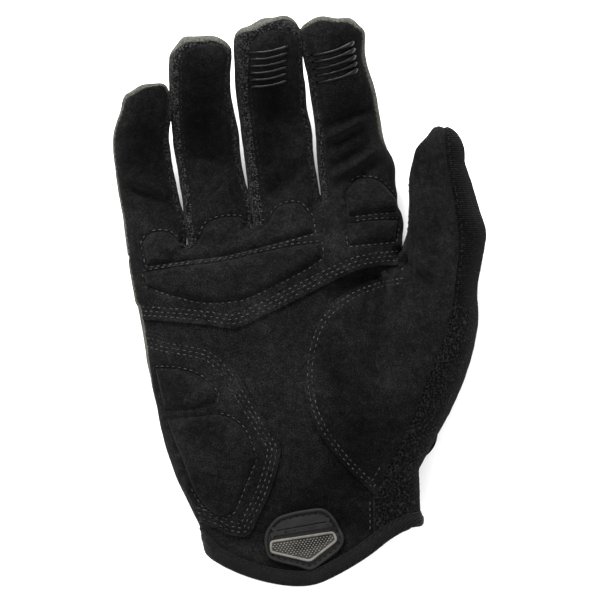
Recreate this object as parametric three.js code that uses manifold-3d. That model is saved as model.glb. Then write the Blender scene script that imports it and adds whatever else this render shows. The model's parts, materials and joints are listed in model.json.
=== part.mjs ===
// A right-hand cycling glove lying on its back, palm up, as separate sewn panels.
// Millimetres. X runs to the thumb, Y to the fingertips and Z up, from the back of
// the glove, which rests on z = 0, to the palm.
import * as THREE from "three";
import { mergeVertices } from "three/addons/utils/BufferGeometryUtils.js";
import Module from "manifold-3d";

const wasm = await Module();
wasm.setup();

const table = (columns, rows) =>
  rows.map((row) => Object.fromEntries(columns.map((name, i) => [name, row[i]])));

// Sheet thicknesses, and the gap that neighbouring pieces keep.
const GAP = 0.3;
const BASE_SHEET = 1.0;
const OVERLAY_SHEET = 0.9;
const WALL = BASE_SHEET + GAP + OVERLAY_SHEET;

// The palm tube, from the lowest point of the cuff to the crotches of the fingers.
const PALM_LENGTH = 124;
const PALM_WIDTH = 97;
const PALM_THICKNESS = 26;
const PALM_MIDDLE_X = -11.5;
const CUFF_Y = -99;

// The thumb, from its root inside the palm to its tip, in plan. A root is a share of the
// palm's width, length and thickness.
const THUMB_ROOT = { across: 0.469, along: 0.427, up: 0.54 };
const THUMB_LENGTH = 106;
const THUMB_WIDTH = 26;
const THUMB_THICKNESS = 21;
const THUMB_RISE = 13;

// Each finger: where it leaves the palm; its length, a share of the middle finger's; its
// width, a share of the palm's; and, as shares of its own length, how far its tip leans to
// the thumb side, how far it bows to the little-finger side, and how high it curls.
const FINGER_LENGTH = 69.2;
const FINGERS = table(["name", "across", "along", "size", "width", "lean", "bow", "rise"], [
  ["little", -0.399, 0.952, 0.8, 0.214, -0.058, 0.056, 0.36],
  ["ring", -0.172, 0.989, 0.987, 0.235, -0.089, 0.038, 0.395],
  ["middle", 0.071, 1.04, 1, 0.248, -0.058, 0.058, 0.419],
  ["index", 0.333, 1.052, 0.977, 0.252, -0.148, 0, 0.4],
]);
const fingerLength = (finger) => finger.size * FINGER_LENGTH;
const fingerWidth = (finger) => finger.width * PALM_WIDTH;
const FINGER_THICKNESS = 0.76;
const FINGER_ROOT_UP = 0.477;

// Foam pads, grip ribs, cuff binding, pull tab and closing strap.
const PAD_THICKNESS = 1.9;
const PAD_EDGE = 0.6;
const PAD_ROUNDING = 5;
const PAD_SINK = 1;
const RIB_WIDTH = 1.2;
const RIB_HEIGHT = 0.6;
const RIB_PITCH = 2.3;
const RIB_SPAN = 0.68;
const RIB_CELLS = 6;
const RIB_CLEAR = 0.15;
const RIB_SAG = 1.2;
const BINDING_WIDTH = 4.2;
const BINDING_SHEET = 0.8;
const TAB_WIDTH = 28.5;
const TAB_HEIGHT = 20.5;
const TAB_THICKNESS = 1.7;
const WEDGE_DEPTH = 0.7;
const WEDGE_PROUD = 0.4;
const GROOVE_WIDTH = 0.7;
const GROOVE_DEPTH = 0.6;
const STRAP_LENGTH = 62;
const STRAP_WIDTH = 20;
const STRAP_THICKNESS = 1.8;
const WRIST_LIFT = STRAP_THICKNESS + 3 * GAP;

const AROUND_PALM = 22;
const AROUND_FINGER = 12;
const AROUND_THUMB = 14;
const FAR = 220;
const CRUMB_VOLUME = 50;

// Palm sections. along is a share of the palm's length; left and right are shares of its
// width, from its middle; lift is a share of the wrist's lift and top of the thickness;
// slant is the rise to the thumb side, because the knuckles lie across at an angle.
const PALM_SECTIONS = table(["along", "left", "right", "lift", "top", "slant"], [
  [-0.1, 0.22, 0.56, 1, 0.98, 0],
  [0.14, 0.232, 0.554, 1, 1.0, 0],
  [0.22, 0.28, 0.552, 1, 1.04, 0],
  [0.31, 0.332, 0.548, 1, 1.06, 0],
  [0.42, 0.38, 0.543, 1, 1.05, 0],
  [0.51, 0.405, 0.53, 1, 1.03, 0],
  [0.6, 0.43, 0.52, 0, 1.01, 0.02],
  [0.72, 0.452, 0.51, 0, 1.0, 0.07],
  [0.85, 0.472, 0.495, 0, 0.97, 0.14],
  [0.95, 0.478, 0.47, 0, 0.9, 0.24],
  [1.02, 0.45, 0.43, 1.5, 0.76, 0.32],
]);
const PALM_SQUARENESS = 2.7;
const UNDERSIDE = 2.5;

// Finger sections: shares of the finger's length, width and thickness.
const FINGER_SECTIONS = table(["along", "width", "thick"], [
  [-0.36, 0.84, 0.94],
  [0.08, 1.01, 1.02],
  [0.38, 0.99, 1.0],
  [0.62, 0.95, 0.97],
]);
const FINGER_SQUARENESS = 2.3;
const TIP_LENGTH = 0.5;
const TIP_ANGLES = [18, 50, 78];
const TIP_BEGINS = 0.85;
const TIP_SHARE = 0.94;

// Thumb sections: shares of its length, width and thickness; side is a share of the width.
const THUMB_SECTIONS = table(["along", "side", "width", "thick"], [
  [-0.14, -0.02, 0.66, 0.7],
  [0, 0, 1.1, 0.95],
  [0.19, 0.14, 1.3, 1.25],
  [0.36, 0.21, 1.34, 1.28],
  [0.52, 0.215, 1.24, 1.2],
  [0.62, 0.27, 1.08, 1.1],
  [0.72, 0.22, 0.97, 1.04],
  [0.8, 0.12, 0.88, 0.96],
  [0.88, 0.045, 0.74, 0.84],
]);
const THUMB_LEAN = 0.143;
const THUMB_ROLL = 24;
const THUMB_TIP_LENGTH = 0.44;

// Where the front and back panels' seams run round each finger, as shares of its half
// thickness above its centre line. A finger shows more knit on its little-finger side.
const SEAMS = table(["frontLeft", "frontRight", "backLeft", "backRight"], [
  [0.3, 0.55, 0.3, -0.45],
  [0.84, 0.5, -0.35, -0.45],
  [0.84, 0.5, -0.35, -0.45],
  [0.66, 0.35, -0.4, 0.35],
]);

// Outlines in plan: across is a share of the palm's width from its middle, and along a
// share of its length from the cuff.
const PLAN = ["across", "along"];
const CUFF_EDGE = table(PLAN, [
  [-0.6, 0.15], [-0.3, 0.135], [-0.235, 0.112], [-0.19, 0.075], [-0.1, 0.04], [0, 0.016], [0.1, 0.005],
  [0.18, 0.012], [0.27, 0.045], [0.36, 0.088], [0.44, 0.135], [0.5, 0.16], [0.56, 0.17], [0.9, 0.175],
]);
const KNUCKLE_EDGE = table(PLAN, [
  [-0.7, 0.75], [-0.46, 0.743], [-0.35, 0.738], [-0.22, 0.729], [-0.114, 0.72],
  [-0.017, 0.752], [0.12, 0.805], [0.265, 0.862], [0.39, 0.893], [0.7, 0.91],
]);
const THENAR_EDGE = table(PLAN, [
  [0.49, 0.872], [0.39, 0.856], [0.283, 0.82], [0.193, 0.76], [0.149, 0.684], [0.131, 0.6],
  [0.142, 0.515], [0.185, 0.43], [0.265, 0.345], [0.355, 0.275], [0.385, 0.252],
]);
const TERRY_SEAM = table(PLAN, [
  [0.43, 0.317], [0.5, 0.43], [0.571, 0.571], [0.626, 0.67],
  [0.662, 0.769], [0.68, 0.868], [0.687, 0.966], [0.669, 1.079], [0.647, 1.178], [0.63, 1.33],
]);
const THUMB_SIDE = table(PLAN, [[0.385, -1], [0.385, 0.252], [0.49, 0.66], [0.49, 2.5]]);
const HEEL_EDGE = table(PLAN, [
  [-0.7, 0.72], [-0.446, 0.704], [-0.367, 0.69], [-0.259, 0.676], [-0.186, 0.656], [-0.114, 0.599],
  [-0.053, 0.52], [0.005, 0.447], [0.045, 0.396], [0.045, 0.351], [0.012, 0.261], [-0.031, 0.19],
  [-0.07, 0.137], [-0.15, 0.143], [-0.235, 0.172], [-0.7, 0.28],
]);
// Foam pads, each between its lower and its upper edge, from left to right.
const PADS = {
  pad_knuckle_upper: {
    cells: [14, 3],
    lower: table(PLAN, [
      [-0.43, 0.896], [-0.327, 0.907], [-0.165, 0.924], [-0.053, 0.944], [0.063, 0.967], [0.168, 0.99],
    ]),
    upper: table(PLAN, [
      [-0.448, 0.96], [-0.42, 0.985], [-0.36, 0.987], [-0.29, 0.945], [-0.24, 0.972], [-0.2, 1.02],
      [-0.1, 1.03], [-0.055, 0.992], [0.0, 1.012], [0.04, 1.058], [0.11, 1.07], [0.158, 1.035],
    ]),
  },
  pad_knuckle_lower: {
    cells: [12, 3],
    lower: table(PLAN, [
      [-0.436, 0.84], [-0.327, 0.812], [-0.226, 0.795], [-0.132, 0.798], [-0.053, 0.813],
      [0.128, 0.884], [0.196, 0.92],
    ]),
    upper: table(PLAN, [
      [-0.44, 0.876], [-0.327, 0.89], [-0.165, 0.907], [-0.006, 0.934], [0.102, 0.951], [0.192, 0.958],
    ]),
  },
  pad_index_upper: {
    cells: [6, 3],
    lower: table(PLAN, [[0.29, 1.036], [0.366, 1.043], [0.455, 1.052]]),
    upper: table(PLAN, [[0.283, 1.1], [0.322, 1.138], [0.38, 1.138], [0.42, 1.114], [0.45, 1.08]]),
  },
  pad_index_lower: {
    cells: [5, 3],
    lower: table(PLAN, [[0.297, 0.954], [0.398, 0.962], [0.46, 0.966]]),
    upper: table(PLAN, [[0.29, 1.012], [0.38, 1.021], [0.456, 1.024]]),
  },
  pad_heel_upper: {
    cells: [6, 3],
    lower: table(PLAN, [[-0.37, 0.492], [-0.3, 0.492], [-0.235, 0.5], [-0.185, 0.514]]),
    upper: table(PLAN, [[-0.404, 0.606], [-0.327, 0.604], [-0.244, 0.585], [-0.18, 0.537]]),
  },
  pad_heel_lower: {
    cells: [8, 5],
    lower: table(PLAN, [[-0.29, 0.32], [-0.262, 0.262], [-0.215, 0.212], [-0.165, 0.192], [-0.12, 0.206]]),
    upper: table(PLAN, [[-0.362, 0.462], [-0.266, 0.47], [-0.157, 0.474], [-0.085, 0.435], [-0.042, 0.355]]),
  },
};
// The seam on the back of the hand, just past the crotches of the fingers.
const BACK_KNUCKLES = table(PLAN, [[-0.7, 0.868], [0.7, 1.222]]);
const TAB_MIDDLE = { across: 0.135, along: 0.131 };
const STRAP_END = { across: 0.62, along: 0.42 };
// The pull tab's outline and its pale wedge, as shares of its width and height.
const TAB_OUTLINE = [
  [-0.5, -0.04], [-0.46, -0.32], [-0.3, -0.38], [-0.04, -0.43], [0.07, -0.5], [0.17, -0.42], [0.44, -0.16],
  [0.5, -0.02], [0.38, 0.32], [0.28, 0.48], [0.2, 0.52], [-0.12, 0.45], [-0.34, 0.36], [-0.47, 0.14],
];
const WEDGE_OUTLINE = [[-0.42, -0.06], [-0.4, -0.22], [0.04, -0.35], [0.37, -0.02], [0.35, 0.14]];
const TAB_GROOVES = [[-0.4, 0.11, 0.34, 0.3], [-0.42, 0.02, 0.36, 0.22]];
// Cross grip ribs on the two fingers that pull the brake lever.
const RIBS = table(["finger", "count", "along", "tilt"], [
  ["middle", 6, 0.645, 0.03],
  ["index", 5, 0.69, 0.12],
]);

// Soft relief of the palm side: the ball of the thumb, the heel of the hand and the
// hollow between them. Sizes are shares of the palm's thickness, width and length.
const MOUNDS = table(["across", "along", "height", "wide", "long"], [
  [0.38, 0.55, 0.3, 0.2, 0.22],
  [-0.28, 0.38, 0.1, 0.17, 0.24],
  [0.02, 0.58, -0.13, 0.2, 0.28],
  [0.3, 0.14, -0.04, 0.25, 0.1],
]);
const MOUND_FROM = 0.3;
const MOUND_TO = 0.75;

const onPalm = ({ across, along }) =>
  new THREE.Vector2(PALM_MIDDLE_X + across * PALM_WIDTH, CUFF_Y + along * PALM_LENGTH);
const smooth = (rows, steps) => new THREE.SplineCurve(rows.map(onPalm)).getPoints(steps);
const bowed = (share) => Math.sin(Math.PI * THREE.MathUtils.clamp(share, 0, 1) ** 1.5);
const power = (value, exponent) => Math.sign(value) * Math.abs(value) ** exponent;

function solidOf(geometry) {
  const bare = new THREE.BufferGeometry();
  bare.setAttribute("position", geometry.getAttribute("position"));
  if (geometry.index) bare.setIndex(geometry.index);
  const merged = mergeVertices(bare, 1e-4);
  return new wasm.Manifold(new wasm.Mesh({
    numProp: 3,
    vertProperties: merged.attributes.position.array,
    triVerts: new Uint32Array(merged.index.array),
  }));
}

function geometryOf(solid) {
  const mesh = solid.getMesh();
  const geometry = new THREE.BufferGeometry();
  geometry.setAttribute("position", new THREE.BufferAttribute(new Float32Array(mesh.vertProperties), 3));
  geometry.setIndex(new THREE.BufferAttribute(new Uint32Array(mesh.triVerts), 1));
  return geometry;
}

// The largest body of a cut, without the crumbs that the cut leaves beside it.
const largest = (solid) => solid.decompose().sort((a, b) => b.volume() - a.volume())[0];

// Moves every vertex of a geometry to where place puts it.
function reshape(geometry, place) {
  const position = geometry.getAttribute("position");
  const vertex = new THREE.Vector3();
  for (let i = 0; i < position.count; i++) {
    vertex.fromBufferAttribute(position, i);
    position.setXYZ(i, ...place(vertex).toArray());
  }
  return geometry;
}

// Raises the ball of the thumb and the heel, and lowers the hollow of the palm.
function mounded(point) {
  const rise = THREE.MathUtils.smoothstep(point.z, MOUND_FROM * PALM_THICKNESS, MOUND_TO * PALM_THICKNESS);
  const lift = MOUNDS.reduce((sum, mound) => {
    const middle = onPalm(mound);
    const dx = (point.x - middle.x) / (mound.wide * PALM_WIDTH);
    const dy = (point.y - middle.y) / (mound.long * PALM_LENGTH);
    return sum + mound.height * PALM_THICKNESS * Math.exp(-dx * dx - dy * dy);
  }, 0);
  return point.setZ(point.z + lift * rise);
}

// A closed tube through sections. Each has a centre, a heading, half sizes across and
// through, and a roll about the heading. Nothing reaches below floor.
function tube(sections, around, squareness, floor) {
  const last = sections.length - 1;
  return solidOf(reshape(new THREE.CylinderGeometry(1, 1, 1, around, last), (v) => {
    const section = sections[Math.round((v.y + 0.5) * last)];
    const across = new THREE.Vector3(section.heading.y, -section.heading.x, 0).normalize();
    const through = new THREE.Vector3().crossVectors(across, section.heading);
    const turn = new THREE.Quaternion().setFromAxisAngle(section.heading, section.roll ?? 0);
    across.applyQuaternion(turn);
    through.applyQuaternion(turn);
    const point = section.centre.clone()
      .addScaledVector(across, section.halfWidth * power(v.x, 2 / squareness))
      .addScaledVector(through, section.halfThickness * power(v.z, 2 / squareness));
    point.z = Math.max(point.z, floor);
    return mounded(point);
  }));
}

// Sections of a rounded tip, from the last full section on.
function tipSections(end, heading, halfWidth, halfThickness, reach, roll) {
  return TIP_ANGLES.map((degrees) => {
    const angle = THREE.MathUtils.degToRad(degrees);
    const shrink = Math.cos(angle);
    return {
      centre: end.clone().addScaledVector(heading, reach * Math.sin(angle)),
      heading,
      halfWidth: halfWidth * shrink,
      halfThickness: halfThickness * shrink,
      roll,
    };
  });
}

function palmTube(offset) {
  const sections = PALM_SECTIONS.map((row) => {
    const left = PALM_MIDDLE_X - row.left * PALM_WIDTH - offset;
    const right = PALM_MIDDLE_X + row.right * PALM_WIDTH + offset;
    const bottom = row.lift * WRIST_LIFT - UNDERSIDE * (1 - row.lift) - offset;
    const top = row.top * PALM_THICKNESS + offset;
    const ahead = row === PALM_SECTIONS.at(-1) ? offset : 0;
    const x = (left + right) / 2;
    const y = onPalm({ across: 0, along: row.along }).y + row.slant * (x - PALM_MIDDLE_X) + ahead;
    return {
      centre: new THREE.Vector3(x, y, (top + bottom) / 2),
      heading: new THREE.Vector3(-row.slant, 1, 0).normalize(),
      halfWidth: ((right - left) / 2) * Math.hypot(1, row.slant),
      halfThickness: (top - bottom) / 2,
    };
  });
  return tube(sections, AROUND_PALM, PALM_SQUARENESS, -offset);
}

// A point of a finger's centre line, and its heading there.
function fingerPoint(finger, share) {
  const ahead = Math.max(share, 0);
  const past = Math.max(share - 1, 0);
  const root = onPalm(finger);
  const length = fingerLength(finger);
  return new THREE.Vector3(
    root.x + length * (finger.lean * share - finger.bow * bowed(share)),
    root.y + length * share,
    FINGER_ROOT_UP * PALM_THICKNESS + length * finger.rise * (Math.min(ahead, 1) ** 2 + 2 * past),
  );
}
const STEP = 0.02;
const fingerHeading = (finger, share) =>
  fingerPoint(finger, share + STEP).sub(fingerPoint(finger, share - STEP)).normalize();

function fingerTube(finger, offset) {
  const halfWidth = fingerWidth(finger) / 2;
  const halfThickness = halfWidth * FINGER_THICKNESS;
  const reach = fingerWidth(finger) * TIP_LENGTH;
  const tipHeading = fingerHeading(finger, TIP_BEGINS);
  const tipStart = 1 - (reach * tipHeading.y) / fingerLength(finger);
  const body = FINGER_SECTIONS.map((row) => ({
    centre: fingerPoint(finger, row.along),
    heading: fingerHeading(finger, row.along),
    halfWidth: halfWidth * row.width + offset,
    halfThickness: halfThickness * row.thick + offset,
  }));
  const tip = tipSections(fingerPoint(finger, tipStart), fingerHeading(finger, tipStart),
    halfWidth * TIP_SHARE + offset, halfThickness * TIP_SHARE + offset, reach + offset);
  return tube([...body, ...tip], AROUND_FINGER, FINGER_SQUARENESS, -offset);
}

const thumbSide = (share, side) => side * THUMB_WIDTH + THUMB_LEAN * THUMB_LENGTH * share;
const thumbHeight = (share) => THUMB_ROOT.up * PALM_THICKNESS + THUMB_RISE * share;
const thumbPoint = (share, side) => new THREE.Vector3(
  onPalm(THUMB_ROOT).x + thumbSide(share, side),
  onPalm(THUMB_ROOT).y + THUMB_LENGTH * share,
  thumbHeight(share),
);

function thumbTube(offset) {
  const roll = THREE.MathUtils.degToRad(-THUMB_ROLL);
  const heading = new THREE.Vector3(THUMB_LEAN, 1, THUMB_RISE / THUMB_LENGTH).normalize();
  const body = THUMB_SECTIONS.map((row) => ({
    centre: thumbPoint(row.along, row.side),
    heading,
    halfWidth: (THUMB_WIDTH / 2) * row.width + offset,
    halfThickness: (THUMB_THICKNESS / 2) * row.thick + offset,
    roll,
  }));
  const last = THUMB_SECTIONS.at(-1);
  const reach = THUMB_WIDTH * THUMB_TIP_LENGTH;
  const tipStart = 1 - reach / THUMB_LENGTH;
  const halfWidth = (THUMB_WIDTH / 2) * last.width * TIP_SHARE + offset;
  const halfThickness = (THUMB_THICKNESS / 2) * last.thick * TIP_SHARE + offset;
  const start = thumbPoint(tipStart, last.side / 2);
  const tip = tipSections(start, heading, halfWidth, halfThickness, reach + offset, roll);
  return tube([...body, ...tip], AROUND_THUMB, FINGER_SQUARENESS, -offset);
}

// The whole glove as one closed body, grown by offset on every side. Sheets are what lies
// between two such bodies.
const bodies = new Map();
function body(offset) {
  const key = offset.toFixed(3);
  if (!bodies.has(key)) {
    let whole = palmTube(offset).add(thumbTube(offset));
    for (const finger of FINGERS) whole = whole.add(fingerTube(finger, offset));
    bodies.set(key, whole);
  }
  return bodies.get(key);
}
const sheet = (outer, inner) => body(outer).subtract(body(inner));

// An upright prism over an outline in plan.
function prism(outline, from = -FAR, to = FAR) {
  const upright = { depth: to - from, bevelEnabled: false, steps: 1 };
  return solidOf(new THREE.ExtrudeGeometry(new THREE.Shape(outline), upright).translate(0, 0, from));
}

// Moves an open line in plan sideways, to its left for a positive distance.
function shifted(line, distance) {
  return line.map((point, i) => {
    const ahead = line[Math.min(i + 1, line.length - 1)];
    const behind = line[Math.max(i - 1, 0)];
    const way = ahead.clone().sub(behind).normalize();
    return new THREE.Vector2(point.x - way.y * distance, point.y + way.x * distance);
  });
}

const cuffLine = smooth(CUFF_EDGE, 13);
const knuckleLine = smooth(KNUCKLE_EDGE, 10);
const thumbPanelLine = [...smooth(THENAR_EDGE, 14), ...smooth(TERRY_SEAM, 7)];

// Everything on the finger side of a line that runs from left to right.
function beyond(line, shift = 0) {
  const moved = shifted(line, shift);
  const low = moved[0].clone().setX(-FAR);
  const high = moved.at(-1).clone().setX(FAR);
  return prism([low, ...moved, high, new THREE.Vector2(FAR, FAR), new THREE.Vector2(-FAR, FAR)]);
}

// The thumb panel in plan: the round edge on the palm, then up the terry's seam.
function thumbPanelOutline(grow = 0) {
  const edge = shifted(thumbPanelLine, -grow);
  return [...edge, edge.at(-1).clone().setY(FAR), edge[0].clone().setY(FAR)];
}

// What lies on the thumb side of the web between thumb and index finger.
function thumbSideOutline(grow = 0) {
  const edge = THUMB_SIDE.map(onPalm).map((point) => point.setX(point.x - grow));
  return [...edge, new THREE.Vector2(FAR, FAR), new THREE.Vector2(FAR, -FAR)];
}

// Height of the seam round the fingers, at row y of a column on one side of a finger.
const SEAM_CLOSES_FROM = 0.82;
const SEAM_COLUMN = 0.4;
const SEAM_ROWS = 14;
const ROW_CROWDING = 0.6;
const WELL_OUTSIDE = 20;
const GUSSET_SHARES = [-0.3, 0.1, 0.6, 1.2];
function seamHeight(finger, y, front, back, which) {
  const share = (y - onPalm(finger).y) / fingerLength(finger);
  const slope = 2 * finger.rise * THREE.MathUtils.clamp(share, 0, 1);
  const closing = THREE.MathUtils.smoothstep(share, SEAM_CLOSES_FROM, 1);
  const level = which === "front" ? front : THREE.MathUtils.lerp(back, front, closing);
  const half = (fingerWidth(finger) * FINGER_THICKNESS) / 2;
  return fingerPoint(finger, share).z + level * half * Math.hypot(1, slope);
}

// Everything above a seam surface, for cutting the fingers and palm into a front and a back.
function aboveSeam(which, shift) {
  const columns = FINGERS.flatMap((finger, i) => [
    { finger, side: -1, front: SEAMS[i].frontLeft, back: SEAMS[i].backLeft },
    { finger, side: 1, front: SEAMS[i].frontRight, back: SEAMS[i].backRight },
  ]);
  columns.unshift({ ...columns[0], side: -WELL_OUTSIDE });
  columns.push({ ...columns.at(-1), side: WELL_OUTSIDE });
  const lowest = CUFF_Y - WELL_OUTSIDE;
  const highest = Math.max(...FINGERS.map((finger) => fingerPoint(finger, 1).y)) + WELL_OUTSIDE;
  const block = new THREE.BoxGeometry(1, 1, 1, columns.length - 1, SEAM_ROWS, 1);
  return solidOf(reshape(block, (v) => {
    const column = columns[Math.round((v.x + 0.5) * (columns.length - 1))];
    const y = lowest + (highest - lowest) * (v.y + 0.5) ** ROW_CROWDING;
    const share = Math.max((y - onPalm(column.finger).y) / fingerLength(column.finger), 0);
    const x = fingerPoint(column.finger, share).x + column.side * fingerWidth(column.finger) * SEAM_COLUMN;
    const z = v.z > 0 ? FAR : seamHeight(column.finger, y, column.front, column.back, which) + shift;
    return new THREE.Vector3(x, y, z);
  }));
}

const THUMB_SEAM = -0.25;
function thumbBlock(shift) {
  const block = new THREE.BoxGeometry(1, 1, 1, 1, 1, 1);
  return solidOf(reshape(block, (v) => {
    const share = v.y > 0 ? 2 : -1;
    const z = v.z > 0 ? FAR : thumbHeight(share) + (THUMB_SEAM * THUMB_THICKNESS) / 2 + shift;
    return new THREE.Vector3(2 * FAR * v.x, thumbPoint(share, 0).y, z);
  }));
}

const whole = sheet(0, -WALL).intersect(beyond(cuffLine));
const base = sheet(-OVERLAY_SHEET - GAP, -WALL).intersect(beyond(cuffLine));
const front = aboveSeam("front", GAP / 2);
const fromFront = aboveSeam("front", -GAP / 2);
const fromBack = aboveSeam("back", GAP / 2);
const aboveBack = aboveSeam("back", -GAP / 2);
const thumbPanelBlock = prism(thumbPanelOutline()).intersect(thumbBlock(GAP / 2));
const thumbPanelRoom = prism(thumbPanelOutline(GAP)).intersect(thumbBlock(-GAP / 2));

function fingerPanel() {
  return whole.intersect(front).intersect(beyond(knuckleLine, GAP)).subtract(prism(thumbSideOutline(GAP)));
}

function palmPanel() {
  return base.intersect(front).subtract(beyond(knuckleLine)).subtract(thumbPanelRoom)
    .subtract(prism(thumbSideOutline(GAP)));
}

const handBack = () => whole.subtract(aboveBack).subtract(prism(thumbSideOutline(GAP)));
const backKnuckles = BACK_KNUCKLES.map(onPalm);

function backPanel() {
  return handBack().subtract(beyond(backKnuckles));
}

// The backs of the fingers, from the little finger to the index finger.
function fingerBacks() {
  const backs = handBack().intersect(beyond(backKnuckles, GAP)).decompose();
  const kept = backs.filter((solid) => solid.volume() > CRUMB_VOLUME);
  return kept.sort((a, b) => a.boundingBox().min[0] - b.boundingBox().min[0]);
}

const thumbPanel = () => whole.intersect(thumbPanelBlock);
const thumbBack = () => whole.intersect(prism(thumbSideOutline())).subtract(thumbPanelRoom);

// The knit strip between two fingers, down one side, through the crotch and up the other.
function gusset(left, right) {
  const middleLine = (finger) => GUSSET_SHARES.map((share) => {
    const point = fingerPoint(finger, share);
    return new THREE.Vector2(point.x, point.y);
  });
  const slot = [...middleLine(left), ...middleLine(right).toReversed()];
  return whole.intersect(fromBack).subtract(fromFront).intersect(prism(slot));
}

function heelOverlay() {
  return sheet(0, -OVERLAY_SHEET).intersect(prism(smooth(HEEL_EDGE, 20))).intersect(front)
    .intersect(beyond(cuffLine, BINDING_WIDTH));
}

// Drops a point onto the glove from above.
const ray = new THREE.Raycaster();
const DOWN = new THREE.Vector3(0, 0, -1);
const justAbove = new THREE.Mesh(geometryOf(body(GAP)), new THREE.MeshBasicMaterial());
function heightAt(x, y) {
  ray.set(new THREE.Vector3(x, y, FAR), DOWN);
  return ray.intersectObject(justAbove)[0].point.z;
}

// A pad draped on the palm between two edges, thickest away from its rim.
function pad({ lower, upper, cells }) {
  const low = new THREE.SplineCurve(lower.map(onPalm));
  const high = new THREE.SplineCurve(upper.map(onPalm));
  const block = new THREE.BoxGeometry(1, 1, 1, cells[0], cells[1], 1);
  const draped = solidOf(reshape(block, (v) => {
    const [u, w] = [v.x + 0.5, v.y + 0.5];
    const [a, b] = [low.getPoint(u), high.getPoint(u)];
    const plan = a.clone().lerp(b, w);
    const inFromEnd = Math.min(u, 1 - u) * low.getLength();
    const inFromEdge = Math.min(w, 1 - w) * a.distanceTo(b);
    const rim = Math.min(inFromEnd, inFromEdge, PAD_ROUNDING) / PAD_ROUNDING;
    const crown = Math.sqrt(1 - (1 - rim) ** 2);
    const lift = PAD_EDGE + (PAD_THICKNESS - PAD_EDGE) * crown;
    return new THREE.Vector3(plan.x, plan.y, heightAt(plan.x, plan.y) + (v.z > 0 ? lift : -PAD_SINK));
  }));
  return draped.subtract(body(GAP));
}

// One grip rib across a fingertip, draped on its front.
function rib(finger, share, tilt) {
  const block = new THREE.BoxGeometry(1, 1, 1, RIB_CELLS, 2, 1);
  return solidOf(reshape(block, (v) => {
    const middle = fingerPoint(finger, share);
    const x = middle.x + v.x * fingerWidth(finger) * RIB_SPAN;
    const sag = -Math.cos(Math.PI * v.x) * RIB_SAG;
    const y = middle.y + tilt * (x - middle.x) + v.y * RIB_WIDTH + sag;
    const lift = v.y === 0 ? RIB_HEIGHT : RIB_HEIGHT / 2;
    return new THREE.Vector3(x, y, heightAt(x, y) + RIB_CLEAR + (v.z > 0 ? lift : 0));
  }));
}

function cuffBinding() {
  const outer = sheet(GAP + BINDING_SHEET, -WALL - GAP - BINDING_SHEET);
  const inner = sheet(GAP, -WALL - GAP);
  const band = outer.intersect(beyond(cuffLine, -GAP - BINDING_SHEET));
  return band.subtract(beyond(cuffLine, BINDING_WIDTH)).subtract(inner.intersect(beyond(cuffLine, -GAP)));
}

const onTab = ([across, up]) => {
  const middle = onPalm(TAB_MIDDLE);
  return new THREE.Vector2(middle.x + across * TAB_WIDTH, middle.y + up * TAB_HEIGHT);
};
const rounded = (shares, steps) => {
  const corners = shares.map(onTab).map((corner) => new THREE.Vector3(corner.x, corner.y, 0));
  const round = new THREE.CatmullRomCurve3(corners, true).getPoints(steps).slice(0, -1);
  return round.map((point) => new THREE.Vector2(point.x, point.y));
};
const TAB_FLOOR = -OVERLAY_SHEET;
const TAB_TOP = TAB_FLOOR + TAB_THICKNESS;

function grown(outline, distance) {
  const middle = outline.reduce((sum, p) => sum.add(p), new THREE.Vector2()).divideScalar(outline.length);
  return outline.map((p) => p.clone().add(p.clone().sub(middle).setLength(distance)));
}

const wedgeOutline = WEDGE_OUTLINE.map(onTab);

function tabBase() {
  let tab = sheet(TAB_TOP, TAB_FLOOR).intersect(prism(rounded(TAB_OUTLINE, 28), 0));
  tab = tab.subtract(prism(grown(wedgeOutline, 2 * GAP), 0).subtract(body(TAB_TOP - WEDGE_DEPTH)));
  for (const [x0, y0, x1, y1] of TAB_GROOVES) {
    const line = [onTab([x0, y0]), onTab([x1, y1])];
    const groove = [...shifted(line, -GROOVE_WIDTH / 2), ...shifted(line, GROOVE_WIDTH / 2).toReversed()];
    tab = tab.subtract(prism(groove, 0).subtract(body(TAB_TOP - GROOVE_DEPTH)));
  }
  return tab;
}

const tabWedge = () =>
  sheet(TAB_TOP + WEDGE_PROUD, TAB_TOP - WEDGE_DEPTH + GAP).intersect(prism(wedgeOutline, 0));

// The closing strap lies flat under the wrist, with its rounded end past the thumb side.
function closingStrap() {
  const end = onPalm(STRAP_END);
  const radius = STRAP_WIDTH / 2;
  const outline = new THREE.Shape();
  outline.moveTo(end.x - STRAP_LENGTH, end.y - radius);
  outline.lineTo(end.x - radius, end.y - radius);
  outline.absellipse(end.x - radius, end.y, radius, radius, -Math.PI / 2, Math.PI / 2, false);
  outline.lineTo(end.x - STRAP_LENGTH, end.y + radius);
  outline.closePath();
  const flat = { depth: STRAP_THICKNESS, bevelEnabled: false, curveSegments: 9 };
  return solidOf(new THREE.ExtrudeGeometry(outline, flat).translate(0, 0, GAP));
}

const MATERIALS = {
  suede: { color: 0x232323, roughness: 0.95, metalness: 0 },
  knit: { color: 0x1d1d1e, roughness: 0.9, metalness: 0 },
  terry: { color: 0x1a1a1a, roughness: 1, metalness: 0 },
  back_fabric: { color: 0x61625a, roughness: 0.85, metalness: 0 },
  binding: { color: 0x242423, roughness: 0.8, metalness: 0 },
  silicone: { color: 0x0c0c0c, roughness: 0.2, metalness: 0 },
  rubber: { color: 0x2b2b2b, roughness: 0.55, metalness: 0 },
  pale_rubber: { color: 0x7d7b72, roughness: 0.6, metalness: 0 },
};

const glove = new THREE.Group();
function addPiece(name, finish, solid) {
  const mesh = new THREE.Mesh(geometryOf(largest(solid)), new THREE.MeshStandardMaterial(MATERIALS[finish]));
  mesh.name = name;
  glove.add(mesh);
}

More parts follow.
